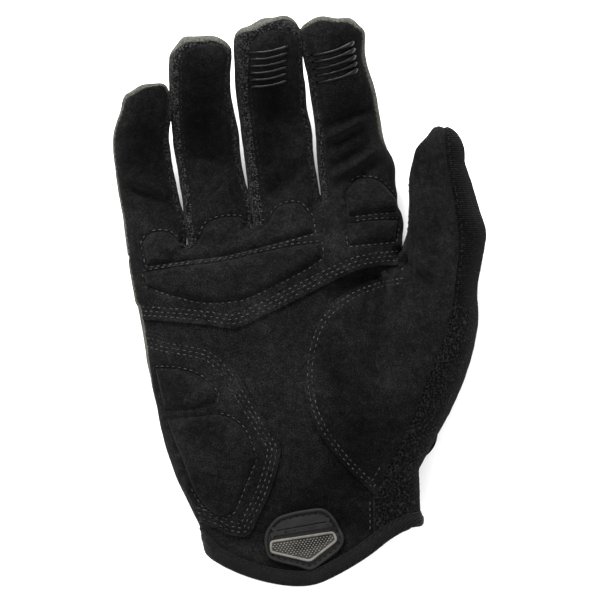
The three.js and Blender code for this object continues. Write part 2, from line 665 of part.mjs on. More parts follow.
addPiece("palm_panel", "suede", palmPanel());
addPiece("finger_panel", "suede", fingerPanel());
addPiece("thumb_panel", "suede", thumbPanel());
addPiece("thumb_back", "terry", thumbBack());
addPiece("back_panel", "back_fabric", backPanel());
fingerBacks().forEach((solid, i) => addPiece(`back_${FINGERS[i].name}`, "back_fabric", solid));
FINGERS.slice(1).forEach((finger, i) => {
  addPiece(`gusset_${FINGERS[i].name}_${finger.name}`, "knit", gusset(FINGERS[i], finger));
});
addPiece("heel_overlay", "suede", heelOverlay());
for (const [name, shape] of Object.entries(PADS)) addPiece(name, "suede", pad(shape));
for (const { finger, count, along, tilt } of RIBS) {
  const on = FINGERS.find((f) => f.name === finger);
  for (let i = 0; i < count; i++) {
    const share = along + (i * RIB_PITCH) / fingerLength(on);
    addPiece(`grip_${finger}_${i + 1}`, "silicone", rib(on, share, tilt));
  }
}
addPiece("cuff_binding", "binding", cuffBinding());
addPiece("pull_tab", "rubber", tabBase());
addPiece("pull_tab_wedge", "pale_rubber", tabWedge());
addPiece("closing_strap", "binding", closingStrap());

export default glove;
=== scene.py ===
import json
import math
from collections import namedtuple

import bpy
import numpy as np
from mathutils import Matrix, Vector, noise
from mathutils.bvhtree import BVHTree

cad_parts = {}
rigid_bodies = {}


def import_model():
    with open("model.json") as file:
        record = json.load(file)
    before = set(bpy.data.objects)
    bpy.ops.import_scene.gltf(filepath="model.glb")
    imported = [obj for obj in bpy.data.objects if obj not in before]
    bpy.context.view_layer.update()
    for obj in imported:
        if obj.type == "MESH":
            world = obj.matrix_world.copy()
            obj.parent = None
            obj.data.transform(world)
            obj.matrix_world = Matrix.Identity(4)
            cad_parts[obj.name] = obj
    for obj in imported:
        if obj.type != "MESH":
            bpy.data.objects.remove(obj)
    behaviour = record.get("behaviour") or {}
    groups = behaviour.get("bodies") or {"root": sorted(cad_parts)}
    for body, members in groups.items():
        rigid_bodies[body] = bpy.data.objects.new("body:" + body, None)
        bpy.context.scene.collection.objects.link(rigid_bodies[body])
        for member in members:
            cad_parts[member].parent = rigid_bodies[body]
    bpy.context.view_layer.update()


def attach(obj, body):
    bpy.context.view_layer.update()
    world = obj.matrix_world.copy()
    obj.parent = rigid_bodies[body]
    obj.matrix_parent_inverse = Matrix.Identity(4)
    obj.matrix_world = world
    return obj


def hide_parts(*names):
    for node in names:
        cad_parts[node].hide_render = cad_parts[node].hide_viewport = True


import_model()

MM = 0.001

# Sizes of the glove.
GAP = 0.3
BASE_SHEET = 1.0
OVERLAY_SHEET = 0.9
PALM_LENGTH = 124
PALM_WIDTH = 97
PALM_THICKNESS = 26
PALM_MIDDLE_X = -11.5
CUFF_Y = -99
PALM_SQUARENESS = 2.7
UNDERSIDE = 2.5
STRAP_LENGTH = 62
STRAP_WIDTH = 20
STRAP_THICKNESS = 1.8
WRIST_LIFT = STRAP_THICKNESS + 3 * GAP

THUMB_ROOT = (0.469, 0.427, 0.54)
THUMB_LENGTH = 106
THUMB_WIDTH = 26
THUMB_THICKNESS = 21
THUMB_RISE = 13
THUMB_LEAN = 0.143
THUMB_ROLL = math.radians(-24)
THUMB_TIP_LENGTH = 0.44
THUMB_SEAM = -0.25

FINGER_LENGTH = 69.2
FINGER_THICKNESS = 0.76
FINGER_ROOT_UP = 0.477
FINGER_SQUARENESS = 2.3
TIP_LENGTH = 0.5
TIP_BEGINS = 0.85
TIP_SHARE = 0.94
TIP_END = math.radians(84)

Finger = namedtuple("Finger", "name across along size width lean bow rise seams tips spread")
# Seams are the front panel's left and right and the back's left and right, as shares of
# the finger's half thickness above its centre line, and tips are the same at the fingertip.
# Spread holds the fingers apart, in millimetres, while the glove's skin is made.
FINGERS = [
    Finger("little", -0.399, 0.952, 0.8, 0.214, -0.058, 0.056, 0.36,
           (0.3, 0.55, 0.3, -0.45), (0.08, -0.05, 0.08, -0.06), -9),
    Finger("ring", -0.172, 0.989, 0.987, 0.235, -0.089, 0.038, 0.395,
           (0.77, 0.5, -0.35, -0.45), (0.6, 0.16, 0.16, 0.06), -3),
    Finger("middle", 0.071, 1.04, 1.0, 0.248, -0.058, 0.058, 0.419,
           (0.84, 0.5, -0.35, -0.45), (0.78, 0.42, 0.36, -0.2), 2),
    Finger("index", 0.333, 1.052, 0.977, 0.252, -0.148, 0.0, 0.4,
           (0.66, 0.35, -0.4, 0.35), (0.05, 0.05, 0.04, 0.05), 6),
]
FINGERS_APART_AT = 0.5
THUMB_SPREAD = 5
THUMB_APART_FROM = 0.53
THUMB_APART_OVER = 0.2

PALM_SECTIONS = np.array([
    # along, left, right, lift, top, slant
    [-0.1, 0.22, 0.56, 1, 0.98, 0],
    [0.14, 0.232, 0.554, 1, 1.0, 0],
    [0.22, 0.28, 0.552, 1, 1.04, 0],
    [0.31, 0.332, 0.548, 1, 1.06, 0],
    [0.42, 0.38, 0.543, 1, 1.05, 0],
    [0.51, 0.405, 0.53, 1, 1.03, 0],
    [0.6, 0.43, 0.52, 0, 1.01, 0.02],
    [0.72, 0.452, 0.51, 0, 1.0, 0.07],
    [0.85, 0.472, 0.495, 0, 0.97, 0.14],
    [0.95, 0.478, 0.47, 0, 0.9, 0.24],
    [1.02, 0.45, 0.43, 1.5, 0.76, 0.32],
])
FINGER_SECTIONS = np.array([
    # along, width, thick
    [-0.36, 0.84, 0.94],
    [0.08, 1.01, 1.02],
    [0.38, 0.99, 1.0],
    [0.62, 0.95, 0.97],
])
THUMB_SECTIONS = np.array([
    # along, side, width, thick
    [-0.14, -0.02, 0.66, 0.7],
    [0, 0, 1.1, 0.95],
    [0.19, 0.14, 1.3, 1.25],
    [0.36, 0.21, 1.34, 1.28],
    [0.52, 0.215, 1.24, 1.2],
    [0.62, 0.27, 1.08, 1.1],
    [0.72, 0.22, 0.97, 1.04],
    [0.8, 0.12, 0.88, 0.96],
    [0.88, 0.045, 0.74, 0.84],
])

# Lines in plan: across is a share of the palm's width from its middle, and along a share
# of its length from the cuff.
CUFF_EDGE = [
    (-0.6, 0.15), (-0.3, 0.135), (-0.235, 0.112), (-0.19, 0.075), (-0.1, 0.04), (0, 0.016), (0.1, 0.005),
    (0.18, 0.012), (0.27, 0.045), (0.36, 0.088), (0.44, 0.135), (0.5, 0.16), (0.56, 0.17), (0.9, 0.175),
]
KNUCKLE_EDGE = [
    (-0.7, 0.75), (-0.46, 0.743), (-0.35, 0.738), (-0.22, 0.729), (-0.114, 0.72),
    (-0.017, 0.752), (0.12, 0.805), (0.265, 0.862), (0.39, 0.893), (0.7, 0.91),
]
THENAR_EDGE = [
    (0.49, 0.872), (0.39, 0.856), (0.283, 0.82), (0.193, 0.76), (0.149, 0.684), (0.131, 0.6),
    (0.142, 0.515), (0.185, 0.43), (0.265, 0.345), (0.355, 0.275), (0.385, 0.252),
]
TERRY_SEAM = [
    (0.43, 0.317), (0.5, 0.43), (0.571, 0.571), (0.626, 0.67),
    (0.662, 0.769), (0.68, 0.868), (0.687, 0.966), (0.669, 1.079), (0.647, 1.178), (0.63, 1.33),
]
THUMB_SIDE = [(0.385, -1), (0.385, 0.252), (0.49, 0.66), (0.49, 2.5)]
HEEL_EDGE = [
    (-0.7, 0.72), (-0.446, 0.704), (-0.367, 0.69), (-0.259, 0.676), (-0.186, 0.656), (-0.114, 0.599),
    (-0.053, 0.52), (0.005, 0.447), (0.045, 0.396), (0.045, 0.351), (0.012, 0.261), (-0.031, 0.19),
    (-0.07, 0.137), (-0.15, 0.143), (-0.235, 0.172), (-0.7, 0.28),
]
BACK_KNUCKLES = [(-0.7, 0.868), (0.7, 1.222)]
# Foam pads, each between its lower and its upper edge, from left to right.
PADS = {
    "pad_knuckle_upper": (
        [(-0.43, 0.896), (-0.327, 0.907), (-0.165, 0.924), (-0.053, 0.944), (0.063, 0.967), (0.168, 0.99)],
        [(-0.448, 0.96), (-0.42, 0.985), (-0.36, 0.987), (-0.29, 0.945), (-0.24, 0.972), (-0.2, 1.02),
         (-0.1, 1.03), (-0.055, 0.992), (0.0, 1.012), (0.04, 1.058), (0.11, 1.07), (0.158, 1.035)],
    ),
    "pad_knuckle_lower": (
        [(-0.436, 0.84), (-0.327, 0.812), (-0.226, 0.795), (-0.132, 0.798), (-0.053, 0.813),
         (0.128, 0.884), (0.196, 0.92)],
        [(-0.44, 0.876), (-0.327, 0.89), (-0.165, 0.907), (-0.006, 0.934), (0.102, 0.951), (0.192, 0.958)],
    ),
    "pad_index_upper": (
        [(0.29, 1.036), (0.366, 1.043), (0.455, 1.052)],
        [(0.283, 1.1), (0.322, 1.138), (0.38, 1.138), (0.42, 1.114), (0.45, 1.08)],
    ),
    "pad_index_lower": (
        [(0.297, 0.954), (0.398, 0.962), (0.46, 0.966)],
        [(0.29, 1.012), (0.38, 1.021), (0.456, 1.024)],
    ),
    "pad_heel_upper": (
        [(-0.37, 0.492), (-0.3, 0.492), (-0.235, 0.5), (-0.185, 0.514)],
        [(-0.404, 0.606), (-0.327, 0.604), (-0.244, 0.585), (-0.18, 0.537)],
    ),
    "pad_heel_lower": (
        [(-0.29, 0.32), (-0.262, 0.262), (-0.215, 0.212), (-0.165, 0.192), (-0.12, 0.206)],
        [(-0.362, 0.462), (-0.266, 0.47), (-0.157, 0.474), (-0.085, 0.435), (-0.042, 0.355)],
    ),
}
# The panels that have openings for pads.
OPENINGS = {
    "finger_panel": ("pad_knuckle_upper", "pad_knuckle_lower", "pad_index_upper", "pad_index_lower"),
    "heel_overlay": ("pad_heel_upper", "pad_heel_lower"),
}
# Soft relief of the palm: across, along, height, wide, long.
MOUNDS = [
    (0.38, 0.55, 0.3, 0.2, 0.22),
    (-0.28, 0.38, 0.1, 0.17, 0.24),
    (0.02, 0.58, -0.13, 0.2, 0.28),
    (0.3, 0.14, -0.04, 0.25, 0.1),
]
MOUND_FROM = 0.3
MOUND_TO = 0.75

AROUND = 72
FAR = 220
NEARBY = 12
VOXEL = 0.55
SMOOTHINGS = 12
SEAM_COLUMN = 0.4
SEAM_CLOSES_FROM = 0.78
SEAM_CLOSES_TO = 0.96
# The finger panel wraps further round the index finger's outer side, up to a third of its length.
INDEX_WRAP = 0.8
WRAP_ENDS_FROM = 0.27
WRAP_ENDS_TO = 0.37
BINDING_WIDTH = 4.2
BINDING_SHEET = 0.8


# Sums.
def smoothstep(low, high, value):
    """Rises smoothly from 0 at low to 1 at high."""
    t = np.clip((value - low) / (high - low), 0, 1)
    return t * t * (3 - 2 * t)


def through(knots, values, at):
    """Values at some places on a smooth line through knots."""
    knots, values, at = (np.asarray(x, float) for x in (knots, values, at))
    slopes = np.gradient(values, knots, axis=0)
    i = np.clip(np.searchsorted(knots, at, side="right") - 1, 0, len(knots) - 2)
    step = knots[i + 1] - knots[i]
    t = (at - knots[i]) / step
    if values.ndim > 1:
        step, t = step[..., None], t[..., None]
    start = (2 * t**3 - 3 * t**2 + 1) * values[i] + (t**3 - 2 * t**2 + t) * slopes[i] * step
    end = (3 * t**2 - 2 * t**3) * values[i + 1] + (t**3 - t**2) * slopes[i + 1] * step
    return start + end


def on_palm(across, along):
    return np.array([PALM_MIDDLE_X + across * PALM_WIDTH, CUFF_Y + along * PALM_LENGTH])


def curve(rows, steps=12):
    """A smooth line in plan through points of the palm."""
    places = np.array([on_palm(*row) for row in rows])
    at = np.linspace(0, len(places) - 1, (len(places) - 1) * steps + 1)
    return through(np.arange(len(places)), places, at)


def distance_near(plan, outline):
    """Signed distance to an outline, for the points near it, and a plain miss for the rest."""
    outline = np.asarray(outline)
    near = np.all((plan > outline.min(0) - NEARBY) & (plan < outline.max(0) + NEARBY), axis=1)
    distance = np.full(len(plan), -float(NEARBY))
    distance[near] = signed_distance(plan[near], outline)
    return distance


def signed_distance(plan, outline):
    """Distance from each point to a closed outline in plan, positive inside."""
    x, y = plan.T
    nearest = np.full(len(plan), np.inf)
    inside = np.zeros(len(plan), bool)
    for (ax, ay), (bx, by) in zip(outline, np.roll(outline, -1, axis=0)):
        dx, dy = bx - ax, by - ay
        share = np.clip(((x - ax) * dx + (y - ay) * dy) / max(dx * dx + dy * dy, 1e-9), 0, 1)
        nearest = np.minimum(nearest, (x - ax - share * dx) ** 2 + (y - ay - share * dy) ** 2)
        if ay != by:
            inside ^= ((ay > y) != (by > y)) & (x < ax + (y - ay) * dx / dy)
    return np.where(inside, 1, -1) * np.sqrt(nearest)


def beyond(line):
    """The outline of everything on the finger side of a line from left to right."""
    low, high = [-FAR, line[0][1]], [FAR, line[-1][1]]
    return np.array([low, *line, high, [FAR, FAR], [-FAR, FAR]])


# Handling meshes.
def deselect():
    if bpy.context.mode != "OBJECT":
        bpy.ops.object.mode_set(mode="OBJECT")
    bpy.ops.object.select_all(action="DESELECT")


def choose(piece):
    deselect()
    piece.select_set(True)
    bpy.context.view_layer.objects.active = piece


def named(name):
    """The piece that was just added, under its own name."""
    piece = bpy.context.active_object
    piece.name = piece.data.name = name
    return piece


def points(piece):
    flat = np.empty(len(piece.data.vertices) * 3, np.float32)
    piece.data.vertices.foreach_get("co", flat)
    return flat.reshape(-1, 3).astype(float)


def set_points(piece, places):
    piece.data.vertices.foreach_set("co", np.asarray(places, np.float32).ravel())
    piece.data.update()


def normals(piece):
    flat = np.empty(len(piece.data.vertices) * 3, np.float32)
    piece.data.vertex_normals.foreach_get("vector", flat)
    return flat.reshape(-1, 3).astype(float)


def keep(piece, layer, values):
    """Stores a value or a vector for each vertex, which cuts and subdivisions carry on."""
    values = np.asarray(values, np.float32)
    kind, field = ("FLOAT_VECTOR", "vector") if values.ndim > 1 else ("FLOAT", "value")
    found = piece.data.attributes.get(layer) or piece.data.attributes.new(layer, kind, "POINT")
    found.data.foreach_set(field, values.ravel())


def kept(piece, layer):
    found = piece.data.attributes[layer]
    vector = found.data_type == "FLOAT_VECTOR"
    flat = np.empty(len(piece.data.vertices) * (3 if vector else 1), np.float32)
    found.data.foreach_get("vector" if vector else "value", flat)
    return (flat.reshape(-1, 3) if vector else flat).astype(float)


def face_values(piece, values):
    """The mean of a vertex value over each face."""
    mesh = piece.data
    corners = np.empty(len(mesh.loops), np.int32)
    mesh.loops.foreach_get("vertex_index", corners)
    starts = np.empty(len(mesh.polygons), np.int32)
    mesh.polygons.foreach_get("loop_start", starts)
    totals = np.empty(len(mesh.polygons), np.int32)
    mesh.polygons.foreach_get("loop_total", totals)
    return np.add.reduceat(values[corners], starts) / totals


def select_faces(piece, mask):
    """Selects faces in object mode, and nothing else."""
    mesh = piece.data
    mesh.vertices.foreach_set("select", np.zeros(len(mesh.vertices), bool))
    mesh.edges.foreach_set("select", np.zeros(len(mesh.edges), bool))
    mesh.polygons.foreach_set("select", np.asarray(mask, bool))
    choose(piece)
    bpy.ops.object.mode_set(mode="EDIT")
    bpy.ops.mesh.select_mode(type="FACE")


def applied(piece, kind, **settings):
    """Adds a modifier, sets it and applies it."""
    choose(piece)
    modifier = piece.modifiers.new(kind.lower(), kind)
    for name, value in settings.items():
        setattr(modifier, name, value)
    bpy.ops.object.modifier_apply(modifier=modifier.name)


def join(pieces, name):
    deselect()
    for piece in pieces:
        piece.select_set(True)
    bpy.context.view_layer.objects.active = pieces[0]
    bpy.ops.object.join()
    return named(name)


def cut_along(piece, layer, level=0.0, where=None, drop=False):
    """Cuts a piece where a stored value passes a level, on the faces of a mask if given.
    The mesh is stood up on that value, cut flat, and laid back. With drop, what lies
    below the level goes."""
    places = points(piece)
    keep(piece, "place", places)
    stood = places.copy()
    stood[:, 2] = kept(piece, layer) - level
    set_points(piece, stood)
    mask = np.ones(len(piece.data.polygons), bool) if where is None else where
    select_faces(piece, mask)
    bpy.ops.mesh.bisect(plane_co=(0, 0, 0), plane_no=(0, 0, 1), clear_inner=drop, threshold=0.04)
    bpy.ops.object.mode_set(mode="OBJECT")
    set_points(piece, kept(piece, "place"))


def only_faces(piece, mask, name):
    """A copy of some faces of a piece."""
    copy = piece.copy()
    copy.data = piece.data.copy()
    bpy.context.scene.collection.objects.link(copy)
    select_faces(copy, ~np.asarray(mask, bool))
    bpy.ops.mesh.delete(type="FACE")
    bpy.ops.object.mode_set(mode="OBJECT")
    return named(name)


# The glove's skin.
def superellipse(around, squareness):
    turn = np.linspace(0, 2 * np.pi, around + 1)
    power = 2 / squareness
    return (
        np.sign(np.cos(turn)) * np.abs(np.cos(turn)) ** power,
        np.sign(np.sin(turn)) * np.abs(np.sin(turn)) ** power,
    )


def closed_tube(name, rings):
    """A tube through rings of points, closed at both ends."""
    along, around = len(rings) - 1, len(rings[0]) - 1
    deselect()
    bpy.ops.mesh.primitive_grid_add(x_subdivisions=around, y_subdivisions=along, size=2)
    tube = named(name)
    spots = np.rint((points(tube)[:, :2] + 1) / 2 * [around, along]).astype(int)
    set_points(tube, rings[spots[:, 1], spots[:, 0]])
    bpy.ops.object.mode_set(mode="EDIT")
    bpy.ops.mesh.select_all(action="SELECT")
    bpy.ops.mesh.remove_doubles(threshold=0.001)
    bpy.ops.mesh.fill_holes(sides=0)
    bpy.ops.mesh.normals_make_consistent(inside=False)
    bpy.ops.object.mode_set(mode="OBJECT")
    return tube


def palm_rings():
    """Rings of points for the palm's tube, from the cuff to the knuckles."""
    along = np.linspace(PALM_SECTIONS[0, 0], PALM_SECTIONS[-1, 0], 90)
    left, right, lift, top, slant = through(PALM_SECTIONS[:, 0], PALM_SECTIONS[:, 1:], along).T[:, :, None]
    round_x, round_z = superellipse(AROUND, PALM_SQUARENESS)
    bottom = lift * WRIST_LIFT - UNDERSIDE * (1 - lift)
    top = top * PALM_THICKNESS
    x = PALM_MIDDLE_X + PALM_WIDTH * ((right - left) / 2 + (left + right) / 2 * round_x)
    y = CUFF_Y + along[:, None] * PALM_LENGTH + slant * (x - PALM_MIDDLE_X)
    z = np.maximum((top + bottom) / 2 + (top - bottom) / 2 * round_z, 0)
    return np.stack([x, y, z], axis=-1)


def finger_line(finger, share):
    """Points of a finger's centre line."""
    share = np.asarray(share, float)
    ahead = np.clip(share, 0, 1)
    past = np.maximum(share - 1, 0)
    root_x, root_y = on_palm(finger.across, finger.along)
    length = finger.size * FINGER_LENGTH
    x = root_x + length * (finger.lean * share - finger.bow * np.sin(np.pi * ahead**1.5))
    z = FINGER_ROOT_UP * PALM_THICKNESS + length * finger.rise * (ahead**2 + 2 * past)
    return np.stack([x, root_y + length * share, z], axis=-1)


def finger_share(finger, y):
    """How far along a finger y lies: 0 at its root and 1 at its tip."""
    return (y - on_palm(finger.across, finger.along)[1]) / (finger.size * FINGER_LENGTH)


def thumb_share(y):
    return (y - on_palm(*THUMB_ROOT[:2])[1]) / THUMB_LENGTH


def spread(finger, y):
    """How far a finger is held aside at y while the skin is made."""
    return finger.spread * np.clip(finger_share(finger, y) / FINGERS_APART_AT, 0, 1)


def thumb_spread(y):
    return THUMB_SPREAD * np.clip((thumb_share(y) - THUMB_APART_FROM) / THUMB_APART_OVER, 0, 1)


def rings_along(centres, headings, half_widths, half_thicknesses, roll=0.0):
    """Rings of points square to a line, for a digit's tube."""
    across = np.stack([headings[:, 1], -headings[:, 0], 0 * headings[:, 0]], axis=-1)
    across /= np.linalg.norm(across, axis=1)[:, None]
    upward = np.cross(across, headings)
    turned = across * math.cos(roll) + np.cross(headings, across) * math.sin(roll)
    upward = upward * math.cos(roll) + np.cross(headings, upward) * math.sin(roll)
    round_x, round_z = superellipse(AROUND, FINGER_SQUARENESS)
    wide = turned[:, None] * (half_widths[:, None] * round_x)[..., None]
    deep = upward[:, None] * (half_thicknesses[:, None] * round_z)[..., None]
    rings = centres[:, None] + wide + deep
    rings[..., 2] = np.maximum(rings[..., 2], 0)
    return rings


def unit(vectors):
    return vectors / np.linalg.norm(vectors, axis=-1, keepdims=True)


def finger_heading(finger, share):
    return unit(finger_line(finger, share + 0.02) - finger_line(finger, share - 0.02))


def finger_rings(finger):
    """Rings of points for a finger's tube, with its round tip, held aside from the others."""
    half_width = finger.width * PALM_WIDTH / 2
    half_thickness = half_width * FINGER_THICKNESS
    reach = 2 * half_width * TIP_LENGTH
    length = finger.size * FINGER_LENGTH
    tip_starts = 1 - reach * finger_heading(finger, np.array([TIP_BEGINS]))[0, 1] / length
    share = np.linspace(FINGER_SECTIONS[0, 0], tip_starts, 60)
    knots = np.vstack([FINGER_SECTIONS, [tip_starts, TIP_SHARE, TIP_SHARE]])
    wide, thick = through(knots[:, 0], knots[:, 1:], share).T
    angle = np.linspace(0, TIP_END, 16)[1:]
    heading = finger_heading(finger, share)
    tip_heading = np.repeat(heading[-1:], len(angle), axis=0)
    tip = finger_line(finger, share[-1:]) + tip_heading * (reach * np.sin(angle))[:, None]
    shrink = TIP_SHARE * np.cos(angle)
    rings = rings_along(
        np.vstack([finger_line(finger, share), tip]),
        np.vstack([heading, tip_heading]),
        half_width * np.concatenate([wide, shrink]),
        half_thickness * np.concatenate([thick, shrink]),
    )
    rings[..., 0] += spread(finger, rings[..., 1])
    return rings


def thumb_line(share, side):
    root_x, root_y = on_palm(*THUMB_ROOT[:2])
    x = root_x + side * THUMB_WIDTH + THUMB_LEAN * THUMB_LENGTH * share
    z = THUMB_ROOT[2] * PALM_THICKNESS + THUMB_RISE * share
    return np.stack([x, root_y + THUMB_LENGTH * share, z], axis=-1)


def thumb_rings():
    """Rings of points for the thumb's tube, with its round tip, held aside from the fingers."""
    reach = THUMB_WIDTH * THUMB_TIP_LENGTH
    tip_starts = 1 - reach / THUMB_LENGTH
    last = THUMB_SECTIONS[-1]
    tip_section = [tip_starts + 0.01, last[1] / 2, last[2] * TIP_SHARE, last[3] * TIP_SHARE]
    knots = np.vstack([THUMB_SECTIONS, tip_section])
    share = np.linspace(knots[0, 0], knots[-1, 0], 80)
    side, wide, thick = through(knots[:, 0], knots[:, 1:], share).T
    heading = unit(np.array([[THUMB_LEAN, 1, THUMB_RISE / THUMB_LENGTH]]))
    angle = np.linspace(0, TIP_END, 14)[1:]
    tip = thumb_line(share[-1:], side[-1:]) + heading * (reach * np.sin(angle))[:, None]
    centres = np.vstack([thumb_line(share, side), tip])
    shrink = np.cos(angle)
    rings = rings_along(
        centres,
        np.repeat(heading, len(centres), axis=0),
        THUMB_WIDTH / 2 * np.concatenate([wide, wide[-1] * shrink]),
        THUMB_THICKNESS / 2 * np.concatenate([thick, thick[-1] * shrink]),
        THUMB_ROLL,
    )
    rings[..., 0] += thumb_spread(rings[..., 1])
    return rings


def digit_columns(y):
    """The centre line, half width and spread of each finger and the thumb, at heights y in plan."""
    columns = []
    for finger in FINGERS:
        held = spread(finger, y)
        middle = finger_line(finger, finger_share(finger, y))[..., 0]
        columns.append((middle + held, finger.width * PALM_WIDTH / 2, held))
    share = thumb_share(y)
    on_sections = np.clip(share, 0, THUMB_SECTIONS[-1, 0])
    side, wide = through(THUMB_SECTIONS[:, 0], THUMB_SECTIONS[:, 1:3], on_sections).T
    held = thumb_spread(y)
    half = THUMB_WIDTH / 2 * wide * math.cos(THUMB_ROLL)
    columns.append((thumb_line(share, side)[..., 0] + held, half, held))
    return columns


def closing(x, y):
    """How far each point of the spread glove moves in X to bring the fingers together."""
    columns = digit_columns(y)
    moved = columns[0][2].copy()
    for (left, left_half, left_held), (right, right_half, right_held) in zip(columns, columns[1:]):
        border = (left + left_half + right - right_half) / 2
        jump = right_held - left_held
        softness = 0.8 + 0.25 * np.abs(jump)
        moved += jump * smoothstep(-1, 1, (x - border) / softness)
    return -moved


def seam_height(x, y, which):
    """Height of the seam surface that parts the fingers' fronts, or their backs."""
    columns = []
    for finger in FINGERS:
        share = finger_share(finger, y)
        middle = finger_line(finger, np.maximum(share, 0))[..., 0] + spread(finger, y)
        slope = np.hypot(1, 2 * finger.rise * np.clip(share, 0, 1))
        half = finger.width * PALM_WIDTH * FINGER_THICKNESS / 2
        closes = smoothstep(SEAM_CLOSES_FROM, SEAM_CLOSES_TO, share)
        for side in (-1, 1):
            place = (side > 0) + 2 * (which == "back")
            level = finger.seams[place] + (finger.tips[place] - finger.seams[place]) * closes
            if finger.name == "index" and side > 0:
                level = level - INDEX_WRAP * (1 - smoothstep(WRAP_ENDS_FROM, WRAP_ENDS_TO, share))
            height = finger_line(finger, share)[..., 2] + level * half * slope
            columns.append((middle + side * finger.width * PALM_WIDTH * SEAM_COLUMN, height))
    total = columns[0][1].copy()
    for (xa, ha), (xb, hb) in zip(columns, columns[1:]):
        total += (hb - ha) * np.clip((x - xa) / (xb - xa), 0, 1)
    return total


def near_spot(places, across, along, wide, long):
    """One at a spot of the palm, and less with every step away from it."""
    middle = on_palm(across, along)
    dx = (places[:, 0] - middle[0]) / (wide * PALM_WIDTH)
    dy = (places[:, 1] - middle[1]) / (long * PALM_LENGTH)
    return np.exp(-dx * dx - dy * dy)


def mounded(places):
    """How far the soft relief of the palm lifts each point."""
    rise = smoothstep(MOUND_FROM * PALM_THICKNESS, MOUND_TO * PALM_THICKNESS, places[:, 2])
    lift = np.zeros(len(places))
    for across, along, height, wide, long in MOUNDS:
        lift += height * PALM_THICKNESS * near_spot(places, across, along, wide, long)
    return lift * rise


# Uneven outline of the worn glove: digit, place, move across and along, reach, in millimetres.
PULLS = [
    (0, -62.8, 67.0, 2.7, 0.0, 6.5), (0, -59.3, 74.0, 0.8, -1.5, 4.0), (0, -47.8, 71.6, 1.0, 2.7, 4.2),
    (1, -35.9, 93.3, 0.0, -1.5, 5.0), (1, -43.6, 89.1, 1.1, 0.0, 3.5), (1, -24.7, 87.3, 1.4, 0.4, 5.0),
    (2, -16.6, 98.5, 0.0, -3.6, 5.0), (2, -9.5, 101.2, 0.0, -2.4, 4.5), (2, -22.2, 90.1, -1.4, 0.0, 6.0),
    (2, 0.5, 74.0, 1.9, 0.0, 8.0), (2, 2.6, 60.0, 1.2, 0.0, 7.0),
    (3, 12.8, 101.2, 0.0, -2.8, 5.5), (3, 21.2, 97.5, 0.0, -1.8, 4.0), (3, 24.6, 85.0, -1.7, 0.0, 8.0),
    (3, 1.6, 92.5, -1.6, 0.3, 4.5), (3, 30.5, 47.0, 2.2, 0.0, 6.0), (3, 33.5, 35.5, 1.6, 0.0, 6.5),
    (3, 35.2, 27.0, 1.3, 0.0, 4.5),
    (0, -41.5, 26.0, 1.3, 0.0, 6.0), (1, -38.5, 26.0, -1.2, 0.0, 6.0),
    (1, -17.9, 33.0, 0.8, 0.0, 6.0), (2, -16.4, 33.0, -0.8, 0.0, 6.0),
    (3, 3.2, 60.0, 1.0, 0.0, 9.0), (1, -23.5, 60.0, 1.0, 0.0, 9.0), (2, -21.5, 60.0, 0.7, 0.0, 9.0),
    (0, -46.0, 65.0, 0.9, 0.0, 5.0), (4, 42.9, 57.0, 2.0, 0.0, 4.0),
    (4, 63.8, 23.5, 0.9, 0.0, 5.0), (4, 63.5, 5.0, -1.1, 0.0, 8.0),
]


def pulled(plan, digit):
    """How far in plan each point is pulled to the uneven outline."""
    move = np.zeros((len(plan), 2))
    for which, x, y, across, along, reach in PULLS:
        near = np.exp(-((plan[:, 0] - x) ** 2 + (plan[:, 1] - y) ** 2) / reach**2) * (np.rint(digit) == which)
        move += near[:, None] * [across, along]
    return move


def make_skin():
    """The whole glove as one closed skin with its fingers held apart, then brought together.
    Every vertex keeps its distances to the seams and panel edges."""
    tubes = [closed_tube("palm_tube", palm_rings()), closed_tube("thumb_tube", thumb_rings())]
    tubes += [closed_tube(finger.name + "_tube", finger_rings(finger)) for finger in FINGERS]
    skin = join(tubes, "skin")
    applied(skin, "REMESH", mode="VOXEL", voxel_size=VOXEL)
    applied(skin, "SMOOTH", factor=0.5, iterations=SMOOTHINGS)
    places = points(skin)
    x, y, z = places.T.copy()
    fields = {
        "front": z - seam_height(x, y, "front"),
        "back": z - seam_height(x, y, "back"),
    }
    columns = digit_columns(y)
    fields["slot"] = sum((x > column[0]).astype(float) for column in columns[:4])
    fields["digit"] = sum(
        (x > (a[0] + a[1] + b[0] - b[1]) / 2).astype(float) for a, b in zip(columns[:4], columns[1:])
    )
    places[:, 0] += closing(x, y)
    places[:, 2] = np.maximum(z + mounded(places), 0)
    plan = places[:, :2]
    thenar, terry_seam = curve(THENAR_EDGE), curve(TERRY_SEAM)
    thumb_panel = np.vstack([thenar, terry_seam, [terry_seam[-1][0], FAR], [thenar[0][0], FAR]])
    thumb_side = np.array([on_palm(*row) for row in THUMB_SIDE] + [(FAR, FAR), (FAR, -FAR)])
    fields["cuff"] = signed_distance(plan, beyond(curve(CUFF_EDGE)))
    fields["knuckle"] = signed_distance(plan, beyond(curve(KNUCKLE_EDGE)))
    fields["thenar"] = signed_distance(plan, thumb_panel)
    fields["thumb_side"] = signed_distance(plan, thumb_side)
    fields["heel"] = signed_distance(plan, curve(HEEL_EDGE))
    back_knuckles = np.array([on_palm(*row) for row in BACK_KNUCKLES])
    fields["back_knuckles"] = signed_distance(plan, beyond(back_knuckles))
    share = thumb_share(places[:, 1])
    plane = THUMB_ROOT[2] * PALM_THICKNESS + THUMB_RISE * share + THUMB_SEAM * THUMB_THICKNESS / 2
    fields["thumb_top"] = places[:, 2] - plane
    for name, (lower, upper) in PADS.items():
        outline = np.vstack([curve(lower), curve(upper)[::-1]])
        fields[name] = distance_near(plan, outline)
    places[:, :2] += pulled(plan, fields["digit"])
    set_points(skin, places)
    for name, values in fields.items():
        keep(skin, name, values)
    return skin


